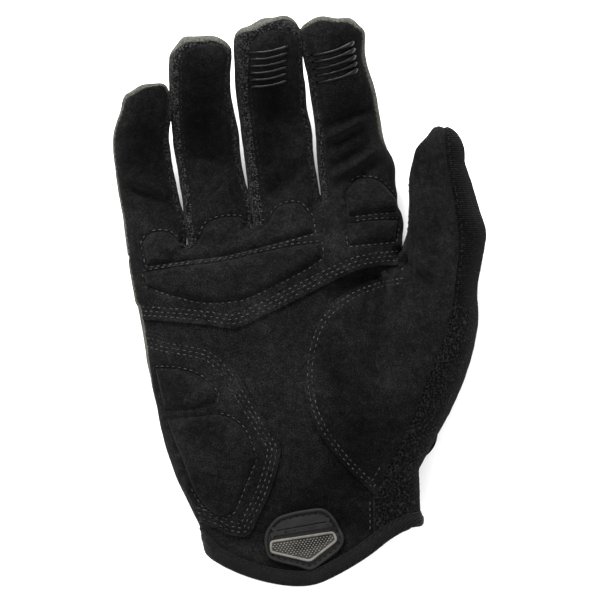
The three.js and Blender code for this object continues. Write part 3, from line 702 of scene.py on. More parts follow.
# Creases and raised folds: across and along of both ends, height and width in millimetres.
FOLDS = [
    (0.213, 1.247, 0.358, 1.306, 1.5, 1.6), (0.2, 1.282, 0.36, 1.328, -1.2, 1.8),
    (0.2, 1.222, 0.33, 1.275, -1.1, 1.7), (0.24, 1.141, 0.413, 1.229, 1.5, 1.7),
    (0.235, 1.172, 0.36, 1.222, -1.1, 1.9), (0.28, 1.122, 0.4, 1.178, -1.0, 1.7),
    (0.0, 1.08, 0.125, 1.18, -1.3, 3.0), (-0.5, 1.115, -0.365, 1.072, -1.2, 1.5),
    (-0.5, 1.14, -0.37, 1.1, 0.7, 1.8), (0.416, 0.877, 0.468, 0.816, 1.2, 1.1),
    (0.395, 0.87, 0.44, 0.805, -1.1, 1.2), (0.47, 0.945, 0.585, 0.83, -2.2, 2.2),
    (0.45, 0.975, 0.585, 0.865, 1.5, 2.2), (0.5, 0.99, 0.6, 0.9, -0.9, 2.3),
    (0.368, 0.835, 0.36, 0.76, -0.9, 1.7), (0.345, 0.84, 0.335, 0.75, 0.6, 1.8),
    (0.299, 0.775, 0.299, 0.68, -0.8, 2.4), (0.2, 0.785, 0.43, 0.878, -2.2, 3.4),
    (-0.29, 1.2, -0.16, 1.19, -0.6, 2.2), (-0.3, 1.36, -0.17, 1.35, -0.5, 2.4),
    (0.0, 1.29, 0.12, 1.3, -0.6, 2.2), (-0.52, 1.26, -0.38, 1.25, -0.5, 2.2),
    (-0.36, 0.2, -0.3, 0.32, -0.6, 1.6), (-0.33, 0.19, -0.27, 0.3, 0.35, 1.6),
    (0.42, 0.2, 0.4, 0.34, -0.6, 1.8), (0.46, 0.22, 0.45, 0.38, -0.6, 2.0),
    (0.2, 0.13, 0.33, 0.19, -0.4, 2.2), (0.6, 1.3, 0.66, 0.95, 0.8, 2.6),
    (0.54, 1.25, 0.6, 1.1, -0.9, 2.4), (0.62, 1.05, 0.6, 0.86, -0.8, 2.2), (0.5, 1.1, 0.54, 1.02, -0.7, 2.4),
    (0.25, 1.44, 0.33, 1.45, -0.5, 2.0), (0.28, 1.1, 0.33, 1.075, -0.6, 1.6),
]
FOLD_STRENGTH = 1.9
# Height of the cloth's unevenness in millimetres, and how many of its bumps a millimetre holds.
CRUMPLES = [(0.5, 0.045), (0.22, 0.12), (0.07, 0.35)]


def folded(places, outward):
    """How far the creases and folds lift or lower the palm side."""
    lift = np.zeros(len(places))
    for start_across, start_along, end_across, end_along, height, width in FOLDS:
        start, end = on_palm(start_across, start_along), on_palm(end_across, end_along)
        way = end - start
        length = np.hypot(*way)
        from_start = places[:, :2] - start
        share = from_start @ way / length**2
        aside = (from_start[:, 0] * way[1] - from_start[:, 1] * way[0]) / length
        ends = smoothstep(-0.2, 0.3, share) * (1 - smoothstep(0.7, 1.2, share))
        lift += height * ends * np.exp(-((aside / width) ** 2))
    return FOLD_STRENGTH * lift * smoothstep(0.1, 0.6, outward[:, 2])


def crumpled(places):
    """Soft unevenness of worn cloth, over the whole skin."""
    return np.array([
        sum(height * noise.noise(place * closeness) for height, closeness in CRUMPLES)
        for place in map(Vector, places)
    ])


FRONT = ["bare_palm", "heel_overlay", "finger_panel", *PADS]
BACK = ["back_panel", "back_little", "back_ring", "back_middle", "back_index"]
GUSSETS = ["gusset_little_ring", "gusset_ring_middle", "gusset_middle_index"]
PALM_RUNS_UNDER = 4


def faces(piece, layer):
    """A stored value, by face."""
    return face_values(piece, kept(piece, layer))


def part(piece, names, which):
    """Separates a piece into named pieces: which gives each face's place in names.
    They come in the order of names, which the stitching depends on."""
    for name in names:
        piece.data.materials.append(bpy.data.materials.new(name))
    piece.data.polygons.foreach_set("material_index", np.asarray(which, np.int32))
    before = set(bpy.data.objects)
    choose(piece)
    bpy.ops.object.mode_set(mode="EDIT")
    bpy.ops.mesh.select_all(action="SELECT")
    bpy.ops.mesh.separate(type="MATERIAL")
    bpy.ops.object.mode_set(mode="OBJECT")
    parted = {}
    for one in [piece, *(set(bpy.data.objects) - before)]:
        name = one.data.materials[0].name
        one.data.materials.clear()
        parted[name] = one
    for name in names:
        bpy.data.materials.remove(bpy.data.materials[name])
    return {name: parted[name] for name in names if name in parted}


def make_panels(skin):
    """Cuts the skin along its seams and parts it into its panels, by CAD node."""
    cut_along(skin, "front", where=faces(skin, "thumb_side") < 2)
    cut_along(skin, "back", where=faces(skin, "thumb_side") < 2)
    cut_along(skin, "thumb_top", where=faces(skin, "thenar") > -2)
    cut_along(skin, "thenar", where=faces(skin, "thumb_top") > -2)
    cut_along(skin, "thumb_side", where=(faces(skin, "thumb_top") < 1) | (faces(skin, "thenar") < 1))
    at = {layer: faces(skin, layer) for layer in (
        "front", "back", "thumb_side", "thenar", "thumb_top", "knuckle", "cuff", "slot")}
    palm = (at["front"] > -0.5) & (at["thumb_side"] < 0) & (at["cuff"] > -0.5)
    palm &= (at["knuckle"] < PALM_RUNS_UNDER) & (at["thenar"] < PALM_RUNS_UNDER)
    tape = (at["cuff"] > -3) & (at["cuff"] < BINDING_WIDTH + 2)
    parted = {
        "palm_panel": only_faces(skin, palm, "palm_under"),
        "cuff_binding": only_faces(skin, tape, "binding_band"),
    }
    names = ["all_front", "thumb_panel", "thumb_back", "all_back", *GUSSETS, "past_cuff"]
    which = np.full(len(at["front"]), names.index("all_back"))
    slot = np.rint(at["slot"]).astype(int)
    between = (at["back"] > 0) & (at["front"] < 0) & (slot > 0) & (slot < 4)
    which[between] = names.index(GUSSETS[0]) + slot[between] - 1
    which[at["front"] > 0] = names.index("all_front")
    which[at["thumb_side"] > 0] = names.index("thumb_back")
    which[(at["thenar"] > 0) & (at["thumb_top"] > 0)] = names.index("thumb_panel")
    which[at["cuff"] < -1] = names.index("past_cuff")
    parted |= part(skin, names, which)
    bpy.data.objects.remove(parted.pop("past_cuff"))

    front = parted.pop("all_front")
    cut_along(front, "knuckle")
    cut_along(front, "heel")
    for pad in PADS:
        cut_along(front, pad)
    which = np.full(len(front.data.polygons), 0)
    which[faces(front, "heel") > 0] = FRONT.index("heel_overlay")
    which[faces(front, "knuckle") > 0] = FRONT.index("finger_panel")
    for pad in PADS:
        which[faces(front, pad) > 0] = FRONT.index(pad)
    parted |= part(front, FRONT, which)
    bpy.data.objects.remove(parted.pop("bare_palm"))

    back = parted.pop("all_back")
    cut_along(back, "back_knuckles")
    digit = np.clip(np.rint(faces(back, "digit")).astype(int), 0, 3)
    parted |= part(back, BACK, np.where(faces(back, "back_knuckles") > 0, digit + 1, 0))
    for name, piece in parted.items():
        if name != "cuff_binding":
            cut_along(piece, "cuff", drop=True)
    return parted


def pillow(distance, round_off):
    """The height of a round-edged cushion, from 0 at its edge to 1."""
    rim = np.clip(distance / round_off, 0, 1)
    return np.sqrt(1 - (1 - rim) ** 2)


def dent(distance, width):
    """The depth of a groove, 1 in its middle."""
    return np.exp(-((distance / width) ** 2))


PALM_BELOW = 1.15
PAD_RISE = 1.9
PAD_ROUND = 6.0
SEAM_DENT, SEAM_DENT_WIDE = 0.6, 1.0
BACK_SEAM_DENT = 0.5
GROOVE, GROOVE_WIDE = 0.55, 0.9
STITCH_DENT, STITCH_DENT_WIDE = 0.22, 0.55
SHEET = 1.5
THICKNESSES = {"palm_panel": BASE_SHEET, "heel_overlay": OVERLAY_SHEET}
# Rows of stitches that follow a panel's edge: the edge, and how far inside it each row is.
EDGE_ROWS = {
    "finger_panel": ("knuckle", (1.5, 3.0, 4.5)),
    "heel_overlay": ("heel", (1.5, 3.0, 4.5)),
    "thumb_panel": ("thenar", (1.4, 2.9)),
}


def shape_relief(panel, piece):
    """Raises the pads, sinks the palm under its overlays and pulls the seams in."""
    outward = kept(piece, "outward")
    front, back = kept(piece, "front"), kept(piece, "back")
    rise = np.zeros(len(front))
    if panel == "palm_panel":
        rise -= PALM_BELOW * (0.35 + 0.65 * smoothstep(0, 6, front))
    if panel in ("thumb_panel", "thumb_back"):
        edge = np.minimum(kept(piece, "thenar"), kept(piece, "thumb_top"))
        rise -= SEAM_DENT * dent(edge, SEAM_DENT_WIDE) * smoothstep(-2, 2, kept(piece, "thumb_side"))
    else:
        rise -= SEAM_DENT * dent(front, SEAM_DENT_WIDE)
    if panel in BACK + GUSSETS:
        rise -= BACK_SEAM_DENT * dent(back, SEAM_DENT_WIDE)
    if panel in BACK:
        rise -= BACK_SEAM_DENT * dent(kept(piece, "back_knuckles"), SEAM_DENT_WIDE)
    if panel in OPENINGS or panel in PADS:
        nearest = np.max([kept(piece, pad) for pad in PADS], axis=0)
        rise -= GROOVE * dent(nearest, GROOVE_WIDE)
    if panel in PADS:
        rise += PAD_RISE * pillow(kept(piece, panel), PAD_ROUND)
    if panel in EDGE_ROWS:
        layer, levels = EDGE_ROWS[panel]
        for level in levels:
            rise -= STITCH_DENT * dent(kept(piece, layer) - level, STITCH_DENT_WIDE)
    set_points(piece, points(piece) + outward * rise[:, None])


BINDING_PAST = 1.2
BINDING_STITCH = 3.1
BINDING_ROUND = 1.7
BINDING_THICKNESS = 4.0


def make_binding(piece):
    """The tape round the cuff's edge: it covers both faces of the cloth, and its rims are round."""
    cut_along(piece, "cuff", level=-BINDING_PAST, drop=True)
    keep(piece, "cuff_far", -kept(piece, "cuff"))
    cut_along(piece, "cuff_far", level=-BINDING_WIDTH, drop=True)
    cuff, outward = kept(piece, "cuff"), kept(piece, "outward")
    inset = np.minimum(cuff + BINDING_PAST, BINDING_WIDTH - cuff)
    full = pillow(inset, BINDING_ROUND)
    places = points(piece)
    pucker = np.array([noise.noise(place * 0.55) for place in map(Vector, places)])
    rise = BINDING_SHEET + 0.15 - 1.15 * (1 - full) + 0.16 * pucker
    rise -= SEAM_DENT * dent(cuff - BINDING_STITCH, STITCH_DENT_WIDE)
    set_points(piece, places + outward * rise[:, None])
    sew_later("cuff", piece, "cuff", BINDING_STITCH, faces(piece, "front") > -3)
    group = piece.vertex_groups.new(name="thick")
    for i, weight in enumerate(1.0 - 0.55 * (1 - full) * (cuff < BINDING_WIDTH / 2)):
        group.add([i], float(weight), "REPLACE")
    applied(
        piece, "SOLIDIFY", thickness=BINDING_THICKNESS, offset=-1, vertex_group="thick", use_rim=True,
    )


# Stitches.
STITCH_PITCH = 2.2
STITCH_LENGTH = 1.2
STITCH_THICK = 0.4
# Sewing by hand on a machine is never even: stitches turn a little and sink unevenly.
STITCH_TURN = 0.12
STITCH_UP, STITCH_UNEVEN, ROW_UNEVEN = 0.04, 0.05, 0.16
DARK_ROWS = ("finger_seams", "tab", "cuff", "thumb")
seams_to_sew = []


def chained(edges):
    """Runs of vertices that edges join end to end, each from an end of its line if it has one."""
    nexts = {}
    for a, b in edges:
        nexts.setdefault(a, []).append(b)
        nexts.setdefault(b, []).append(a)
    left = set(nexts)
    runs = []
    while left:
        ends = [v for v in left if len(nexts[v]) == 1]
        at = min(ends) if ends else min(left)
        run = [at]
        left.discard(at)
        while True:
            ahead = [v for v in nexts[run[-1]] if v in left]
            if not ahead:
                break
            run.append(ahead[0])
            left.discard(ahead[0])
        if not ends and run[0] in nexts[run[-1]]:
            run.append(run[0])
        runs.append(run)
    return runs


def sew_later(row, piece, layer, level, where):
    """Notes the line on a piece where a stored value has a level, for a row of stitches."""
    value = faces(piece, layer)
    near = (np.abs(value - level) < 1.5) & where
    if not near.any():
        return
    strip = only_faces(piece, near, "strip")
    cut_along(strip, layer, level=level)
    mesh = strip.data
    chosen = np.empty(len(mesh.edges), bool)
    mesh.edges.foreach_get("select", chosen)
    ends = np.empty(len(mesh.edges) * 2, np.int32)
    mesh.edges.foreach_get("vertices", ends)
    on_line = np.abs(kept(strip, layer) - level) < 0.06
    edges = [e for e in ends.reshape(-1, 2)[chosen].tolist() if on_line[e[0]] and on_line[e[1]]]
    places, outward = points(strip), kept(strip, "outward")
    for run in chained(edges):
        if len(run) > 3:
            seams_to_sew.append((row, places[run], outward[run]))
    bpy.data.objects.remove(strip)


def pattern_of(piece):
    """The points and faces of a piece that is copied many times. The piece itself goes."""
    shape, corners = points(piece), [list(face.vertices) for face in piece.data.polygons]
    bpy.data.objects.remove(piece)
    return shape, corners


def copies_in_one(name, copies, corners):
    """One piece of many copies of a pattern, each with its own points."""
    size = len(copies[0])
    mesh = bpy.data.meshes.new(name)
    mesh.from_pydata(
        np.vstack(copies).tolist(), [],
        [[corner + i * size for corner in face] for i in range(len(copies)) for face in corners],
    )
    piece = bpy.data.objects.new(name, mesh)
    bpy.context.scene.collection.objects.link(piece)
    return piece


def make_stitch():
    """One stitch, a millimetre long, that dives into the cloth at both ends."""
    deselect()
    bpy.ops.mesh.primitive_uv_sphere_add(segments=8, ring_count=6, radius=0.5, rotation=(0, math.pi / 2, 0))
    bpy.ops.object.transform_apply(rotation=True)
    stitch = named("one_stitch")
    places = points(stitch)
    along = places[:, 0] * 2
    full = np.maximum(1 - along**4, 0) ** 0.5 / np.maximum(1 - along**2, 1e-6) ** 0.5
    places[:, 1:] *= np.clip(full, 0, 1.4)[:, None]
    places[:, 2] -= 0.35 * along**2
    set_points(stitch, places)
    return stitch


def sew_rows(stitch):
    """Lays stitches along every noted line, and makes one piece of thread of each row name."""
    shape, corners = pattern_of(stitch)
    laid = {}
    for turn, (row, line, outward) in enumerate(seams_to_sew):
        steps = np.linalg.norm(np.diff(line, axis=0), axis=1)
        at = np.concatenate([[0], np.cumsum(steps)])
        count = int(at[-1] // STITCH_PITCH)
        offset = (at[-1] - count * STITCH_PITCH) / 2 + STITCH_PITCH * (0.5 * (turn % 2) - 0.25)
        for start in offset + STITCH_PITCH * np.arange(count):
            a, b = (np.array([np.interp(p, at, line[:, k]) for k in range(3)])
                    for p in (start, start + STITCH_LENGTH))
            up = np.array([np.interp(start + STITCH_LENGTH / 2, at, outward[:, k]) for k in range(3)])
            way = b - a
            long = np.linalg.norm(way)
            if long < STITCH_LENGTH / 2:
                continue
            way, up = way / long, up / max(np.linalg.norm(up), 1e-6)
            side = np.cross(up, way)
            side /= np.linalg.norm(side)
            up = np.cross(way, side)
            wobble = noise.noise(Vector(a) * 1.7)
            turned = way + side * STITCH_TURN * wobble
            stretch = np.stack([turned * STITCH_LENGTH, side * STITCH_THICK, up * STITCH_THICK])
            raised = STITCH_UP + STITCH_UNEVEN * wobble + ROW_UNEVEN * noise.noise(Vector(a) * 0.13)
            laid.setdefault(row, []).append(shape @ stretch + (a + b) / 2 + up * raised)
    return {row: copies_in_one("stitches_" + row, copies, corners) for row, copies in laid.items()}


ON_TOP = 1.2
CLEAR_OF_CUFF = 5.5
FINGER_SEAM_ROW = 1.0
PAD_ROW = -0.75
THUMB_ROW = 1.1
WRIST_ROW = -1.3


def note_rows(panel, piece):
    """The rows of stitching that each panel carries."""
    front, thumb_side = faces(piece, "front"), faces(piece, "thumb_side")
    top, past_cuff = front > ON_TOP, faces(piece, "cuff") > CLEAR_OF_CUFF
    if panel in EDGE_ROWS:
        layer, levels = EDGE_ROWS[panel]
        where = {"knuckle": top & (thumb_side < -1), "heel": top & past_cuff, "thenar": thumb_side < 0}
        for level in levels:
            sew_later(layer, piece, layer, level, where[layer])
    if panel == "finger_panel":
        sew_later("finger_seams", piece, "front", FINGER_SEAM_ROW, faces(piece, "knuckle") > 7)
    if panel in OPENINGS:
        for pad in PADS:
            near = faces(piece, "heel") < 12 if "heel" in pad else front > (7 if "index" in pad else 0)
            sew_later("pads", piece, pad, PAD_ROW, top & near)
    if panel == "thumb_panel":
        sew_later("thumb", piece, "thumb_top", THUMB_ROW, thumb_side > 1)
    if panel == "thumb_back":
        sew_later("thumb", piece, "thenar", -THUMB_ROW, faces(piece, "thumb_top") > 0)
    if panel == "palm_panel":
        beside_thumb = faces(piece, "thenar") < -1
        sew_later("wrist", piece, "thumb_side", WRIST_ROW, past_cuff & top & beside_thumb)


# Pull tab, ribs and strap.
TAB_WIDTH = 28.5
TAB_HEIGHT = 20.5
TAB_THICKNESS = 1.7
TAB_MIDDLE = (0.135, 0.131)
TAB_OUTLINE = [
    (-0.5, -0.04), (-0.46, -0.34), (-0.3, -0.42), (-0.04, -0.5), (0.07, -0.57), (0.17, -0.48), (0.44, -0.2),
    (0.5, -0.02), (0.38, 0.32), (0.28, 0.48), (0.2, 0.52), (-0.12, 0.45), (-0.34, 0.36), (-0.47, 0.14),
]
TAB_RIM = 1.0
TAB_CHANNEL = 1.1
UPPER_BAR = [(-0.4, 0.115), (-0.31, 0.265), (-0.11, 0.345), (0.17, 0.405), (0.24, 0.385), (0.32, 0.3)]
LOWER_BAR = [(-0.425, 0.02), (-0.405, 0.1), (0.325, 0.285), (0.36, 0.19)]
WEDGE = [(-0.425, -0.25), (-0.425, -0.045), (0.36, 0.12), (0.41, -0.04), (0.07, -0.41)]
WEDGE_RIM = 0.84
# The wedge's grip pattern: the steps between its domes, and how far it keeps from the edge.
DOME_STEP, DOME_ROW = 1.15, 0.72
DOME_ROWS = 24
DOME_INSET = 1.25
DOME_LIFT = 0.2


def on_tab(across, up):
    """A place in plan, from shares of the tab's width and height about its middle."""
    return on_palm(*TAB_MIDDLE) + [across * TAB_WIDTH, up * TAB_HEIGHT]


def evened(outline, count):
    """Points at even steps round a closed outline."""
    closed = np.vstack([outline, outline[:1]])
    at = np.concatenate([[0], np.cumsum(np.linalg.norm(np.diff(closed, axis=0), axis=1))])
    steps = np.linspace(0, at[-1], count, endpoint=False)
    return np.stack([np.interp(steps, at, closed[:, 0]), np.interp(steps, at, closed[:, 1])], axis=-1)


def rounded_outline(corners, count, rounds):
    """A closed outline through corners, anticlockwise, with its corners softened in rounds."""
    outline = evened(np.asarray(corners, float), count)
    area = np.sum(outline[:, 0] * np.roll(outline[:, 1], -1) - outline[:, 1] * np.roll(outline[:, 0], -1))
    if area < 0:
        outline = outline[::-1]
    for _ in range(rounds):
        outline = (np.roll(outline, 1, axis=0) + 2 * outline + np.roll(outline, -1, axis=0)) / 4
    return outline


def moved_in(outline, distance):
    """An anticlockwise outline, moved in by a distance."""
    way = unit(np.roll(outline, -1, axis=0) - np.roll(outline, 1, axis=0))
    return outline + np.stack([-way[:, 1], way[:, 0]], axis=-1) * distance


def plate(name, outline, levels):
    """A flat plate: its outline steps in and up or down as levels say, (inset, height)."""
    deselect()
    bpy.ops.mesh.primitive_circle_add(vertices=len(outline), radius=1, fill_type="NOTHING")
    piece = named(name)
    count = len(outline)
    inset, height = levels[0]
    set_points(piece, np.column_stack([moved_in(outline, inset), np.full(count, height)]))
    bpy.ops.object.mode_set(mode="EDIT")
    bpy.ops.mesh.select_mode(type="VERT")
    bpy.ops.mesh.select_all(action="SELECT")
    for inset, height in levels[1:]:
        bpy.ops.mesh.extrude_edges_move()
        bpy.ops.object.mode_set(mode="OBJECT")
        places = points(piece)
        places[-count:] = np.column_stack([moved_in(outline, inset), np.full(count, height)])
        set_points(piece, places)
        bpy.ops.object.mode_set(mode="EDIT")
    bpy.ops.mesh.edge_face_add()
    bpy.ops.mesh.inset(thickness=0.7, depth=0)
    bpy.ops.mesh.quads_convert_to_tris()
    bpy.ops.mesh.select_mode(type="VERT")
    bpy.ops.mesh.select_all(action="DESELECT")
    bpy.ops.mesh.select_non_manifold()
    bpy.ops.mesh.edge_face_add()
    bpy.ops.mesh.select_all(action="SELECT")
    bpy.ops.mesh.normals_make_consistent(inside=False)
    bpy.ops.object.mode_set(mode="OBJECT")
    return piece


def surface_of(pieces):
    """Looks straight down onto pieces: gives the height of the cloth at a place in plan."""
    trees = [BVHTree.FromPolygons(
        [v.co for v in piece.data.vertices], [p.vertices for p in piece.data.polygons]) for piece in pieces]

    def height(x, y, otherwise=0.0):
        hits = [tree.ray_cast(Vector((x, y, 200)), Vector((0, 0, -1)))[0] for tree in trees]
        found = [hit.z for hit in hits if hit is not None]
        return max(found) if found else otherwise

    return height


def draped(piece, height, lift):
    """Lifts each point of a piece by the height of the cloth below it."""
    places = points(piece)
    middle = height(*places[:, :2].mean(0))
    places[:, 2] += lift + np.array([height(x, y, middle) for x, y in places[:, :2]])
    set_points(piece, places)


def make_tab(height):
    """The rubber pull tab: a rim, a channel with its stitches, and two bars."""
    floor = -TAB_THICKNESS
    outline = rounded_outline([on_tab(*row) for row in TAB_OUTLINE], 120, 9)
    base = plate("tab_base", outline, [
        (0, floor), (0, -0.5), (0.12, -0.2), (0.35, -0.05), (0.6, 0), (TAB_RIM, -0.06),
        (TAB_RIM + 0.12, -0.42), (TAB_RIM + 0.3, -0.5), (TAB_RIM + TAB_CHANNEL - 0.2, -0.5),
        (TAB_RIM + TAB_CHANNEL, -0.42), (TAB_RIM + TAB_CHANNEL + 0.1, -0.3),
    ])
    bars = [plate(name, rounded_outline([on_tab(*row) for row in rows], 72, 5), [
        (0, -0.6), (0, 0.2), (0.06, 0.34), (0.2, 0.38), (0.5, 0.38)])
        for name, rows in (("upper_bar", UPPER_BAR), ("lower_bar", LOWER_BAR))]
    tab = join([base, *bars], "pull_tab_rubber")
    places = points(tab)
    inside = signed_distance(places[:, :2], moved_in(outline, TAB_RIM + 0.1)) > 0
    low, high = inside & (places[:, 2] < 0.05), places[:, 2] > 0.2
    # Painted shade darkens the low floor inside the rim, and painted light brightens the raised bars.
    keep(tab, "painted_light_and_shade", np.where(low, 0.6, 1.0) * np.where(high, 1.25, 1.0))
    draped(tab, height, TAB_THICKNESS - OVERLAY_SHEET)
    line = moved_in(outline, TAB_RIM + TAB_CHANNEL / 2)
    line = np.vstack([line, line[:1]])
    stitches = np.array([[x, y, height(x, y) + TAB_THICKNESS - OVERLAY_SHEET - 0.42] for x, y in line])
    seams_to_sew.append(("tab", stitches, np.tile([0, 0, 1.0], (len(stitches), 1))))
    return tab


def make_wedge(height):
    """The pale wedge of the pull tab, with a fine grip pattern of small domes."""
    outline = rounded_outline([on_tab(*row) for row in WEDGE], 90, 4)
    wedge = plate("wedge_plate", outline, [
        (0, -0.7), (0, 0.3), (0.12, 0.45), (0.3, 0.52), (0.65, 0.52), (0.8, 0.4), (0.88, 0.12), (1.05, 0.08)])
    low = signed_distance(points(wedge)[:, :2], moved_in(outline, WEDGE_RIM)) > 0
    # Painted shade darkens the whole field inside the rim.
    keep(wedge, "painted_light_and_shade", np.where(low, 0.22, 1.0))
    inner = moved_in(outline, DOME_INSET)
    middle = (inner.min(0) + inner.max(0)) / 2
    way = unit(on_tab(*WEDGE[2]) - on_tab(*WEDGE[1]))
    square = np.array([-way[1], way[0]])
    spots = [
        middle + (i + 0.5 * (j % 2)) * DOME_STEP * way + j * DOME_ROW * square
        for i in range(-DOME_ROWS, DOME_ROWS + 1) for j in range(-DOME_ROWS, DOME_ROWS + 1)
    ]
    deselect()
    bpy.ops.mesh.primitive_uv_sphere_add(segments=6, ring_count=4, radius=0.26)
    shape, corners = pattern_of(named("dome"))
    shape = shape @ np.array([[1.25, 0.75, 0], [-0.75, 0.9, 0], [0, 0, 1.4]])
    on_wedge = signed_distance(np.array(spots), inner) > 0
    domes = [shape + [*spot, DOME_LIFT] for spot, inside in zip(spots, on_wedge) if inside]
    knurl = copies_in_one("domes", domes, corners)
    # Painted shade at the foot of each dome, and painted light on its top.
    keep(knurl, "painted_light_and_shade", 0.4 + 0.6 * smoothstep(DOME_LIFT, 0.42, points(knurl)[:, 2]))
    wedge = join([wedge, knurl], "pull_tab_wedge_rubber")
    draped(wedge, height, TAB_THICKNESS - OVERLAY_SHEET)
    return wedge


RIB_WIDTH = 0.9
RIB_HEIGHT = 0.5
RIB_PITCH = 2.3
RIB_SPAN = 0.7
RIB_SAG = 1.2
RIB_AROUND = 13
# Finger, how many, where the first is, their slope, how much they swell and how far aside.
RIBS = [("middle", 6, 0.655, 0.1, 0.5, -1.4), ("index", 5, 0.69, 0.26, 1.4, -2.2)]


def make_rib(name, finger, share, tilt, swell, aside, height):
    """One raised silicone line across a fingertip, thicker at its thumb end."""
    middle = finger_line(finger, share)
    across = np.linspace(-0.5, 0.5, 37)
    x = middle[0] + aside + across * finger.width * PALM_WIDTH * RIB_SPAN
    y = middle[1] + tilt * (x - middle[0]) - np.cos(np.pi * across) * RIB_SAG
    wave = np.array([noise.noise(Vector((a * 7, share * 40, 0))) for a in across])
    full = np.clip((0.5 - np.abs(across)) / 0.05, 0.02, 1) ** 0.5
    full = full * (1 + swell * smoothstep(0.15, 0.42, across) + 0.18 * wave)
    z = np.array([height(a, b, middle[2]) for a, b in zip(x, y)])
    turn = np.linspace(0, 2 * np.pi, RIB_AROUND)
    rings = np.stack([
        np.repeat(x[:, None], RIB_AROUND, axis=1),
        (y + 0.1 * wave)[:, None] + full[:, None] * RIB_WIDTH / 2 * np.cos(turn),
        z[:, None] + 0.05 + full[:, None] * RIB_HEIGHT * np.sin(turn),
    ], axis=-1)
    return closed_tube(name, rings)


def make_ribs(on_fingers):
    """The grip ribs of both fingertips, by their CAD nodes."""
    ribs = {}
    for finger_name, count, along, tilt, swell, aside in RIBS:
        finger = next(f for f in FINGERS if f.name == finger_name)
        for i in range(count):
            share = along + i * RIB_PITCH / (finger.size * FINGER_LENGTH)
            name = f"grip_{finger_name}_{i + 1}"
            ribs[name] = make_rib(name + "_silicone", finger, share, tilt, swell, aside, on_fingers)
    return ribs


STRAP_END = (0.62, 0.42)


def make_strap():
    """The closing strap's free end, flat under the wrist."""
    end = on_palm(*STRAP_END)
    radius = STRAP_WIDTH / 2
    turn = np.linspace(-np.pi / 2, np.pi / 2, 40)
    tip = np.stack([end[0] - radius + radius * np.cos(turn), end[1] + radius * np.sin(turn)], axis=-1)
    tail = end[0] - STRAP_LENGTH
    corners = np.vstack([[tail, end[1] - radius], tip, [tail, end[1] + radius]])
    outline = rounded_outline(corners, 240, 4)
    top = GAP + STRAP_THICKNESS
    return plate("closing_strap_webbing", outline, [
        (0.4, GAP), (0.1, GAP + 0.25), (0, GAP + 0.6), (0, top - 0.6), (0.1, top - 0.25),
        (0.4, top), (1.6, top), (1.9, top - 0.15), (2.2, top),
    ])


# Finishes.
def shader_of(material):
    return material.node_tree.nodes["Principled BSDF"]


def new_finish(name, **sockets):
    """A material whose shader takes plain values, set on its own sockets."""
    material = bpy.data.materials.new(name)
    material.use_nodes = True
    for socket, value in sockets.items():
        shader_of(material).inputs[socket.replace("_", " ")].default_value = value
    return material


def node(material, kind, inputs=None, **settings):
    """Adds a node, and sets or joins its inputs."""
    tree = material.node_tree
    made = tree.nodes.new("ShaderNode" + kind)
    for name, value in settings.items():
        setattr(made, name, value)
    for name, value in (inputs or {}).items():
        if isinstance(value, bpy.types.NodeSocket):
            tree.links.new(value, made.inputs[name])
        else:
            made.inputs[name].default_value = value
    return made


def object_place(material):
    return node(material, "TexCoord").outputs["Object"]


def grain(material, place, size, detail=2.0, rough=0.6, stretch=(1, 1, 1)):
    """A noise whose blobs are about size millimetres."""
    spaced = node(material, "Mapping", {"Vector": place, "Scale": stretch}).outputs["Vector"]
    settings = {"Vector": spaced, "Scale": 1 / (size * MM), "Detail": detail, "Roughness": rough}
    return node(material, "TexNoise", settings).outputs["Fac"]


def arithmetic(material, operation, a, b):
    return node(material, "Math", {0: a, 1: b}, operation=operation).outputs[0]


def blended(material, parts):
    """A weighted sum of values."""
    total = None
    for value, weight in parts:
        weighted = arithmetic(material, "MULTIPLY", value, weight)
        total = weighted if total is None else arithmetic(material, "ADD", total, weighted)
    return total


def ramp(material, value, stops):
    """A colour that goes through greys or tints, (place, colour), as a value rises."""
    made = node(material, "ValToRGB", {"Fac": value})
    elements = made.color_ramp.elements
    elements[0].position, elements[1].position = stops[0][0], stops[-1][0]
    for at, _ in stops[1:-1]:
        elements.new(at)
    for element, (_, colour) in zip(elements, stops):
        colour = colour if hasattr(colour, "__len__") else (colour, colour, colour)
        element.color = (*colour, 1)
    return made.outputs["Color"]


def times(material, colour, value):
    """A colour made darker or lighter by a value."""
    scaled = node(material, "VectorMath", {0: colour, "Scale": value}, operation="SCALE")
    return scaled.outputs["Vector"]


def feed(material, socket, value):
    """Joins a value that varies over a piece to a socket of the shader."""
    material.node_tree.links.new(value, shader_of(material).inputs[socket])


def set_bump(material, *layers):
    """Relief of the finish: layers of (height, millimetres), the last one uppermost."""
    normal = None
    for height, depth in layers:
        inputs = {"Height": height, "Distance": depth * MM, "Strength": 1.0}
        if normal:
            inputs["Normal"] = normal
        normal = node(material, "Bump", inputs).outputs["Normal"]
    feed(material, "Normal", normal)


def suede():
    """Fine suede: short fibres and a cloudy nap lying both ways, its colour scaled by the stored nap value,
    which also holds painted shade.
    """
    m = new_finish(
        "suede", Roughness=0.95, Specular_IOR_Level=0.015, Sheen_Weight=0.015, Sheen_Roughness=0.45,
    )
    place = object_place(m)
    fibres, nap = grain(m, place, 0.42, 2, 0.75), grain(m, place, 2.6, 4, 0.65)
    cloud = grain(m, place, 17, 3, 0.55)
    tone = blended(m, [(fibres, 0.65), (nap, 0.25), (cloud, 0.25)])
    colour = ramp(m, tone, [(0.38, 0.0003), (0.52, 0.0023), (0.6, 0.0043), (0.76, 0.0145)])
    # The stored nap value darkens and lightens the colour: painted shade as well as nap.
    nap_and_shade = node(m, "Attribute", attribute_name="nap").outputs["Fac"]
    feed(m, "Base Color", times(m, colour, nap_and_shade))
    set_bump(m, (nap, 0.12), (fibres, 0.16))
    return m


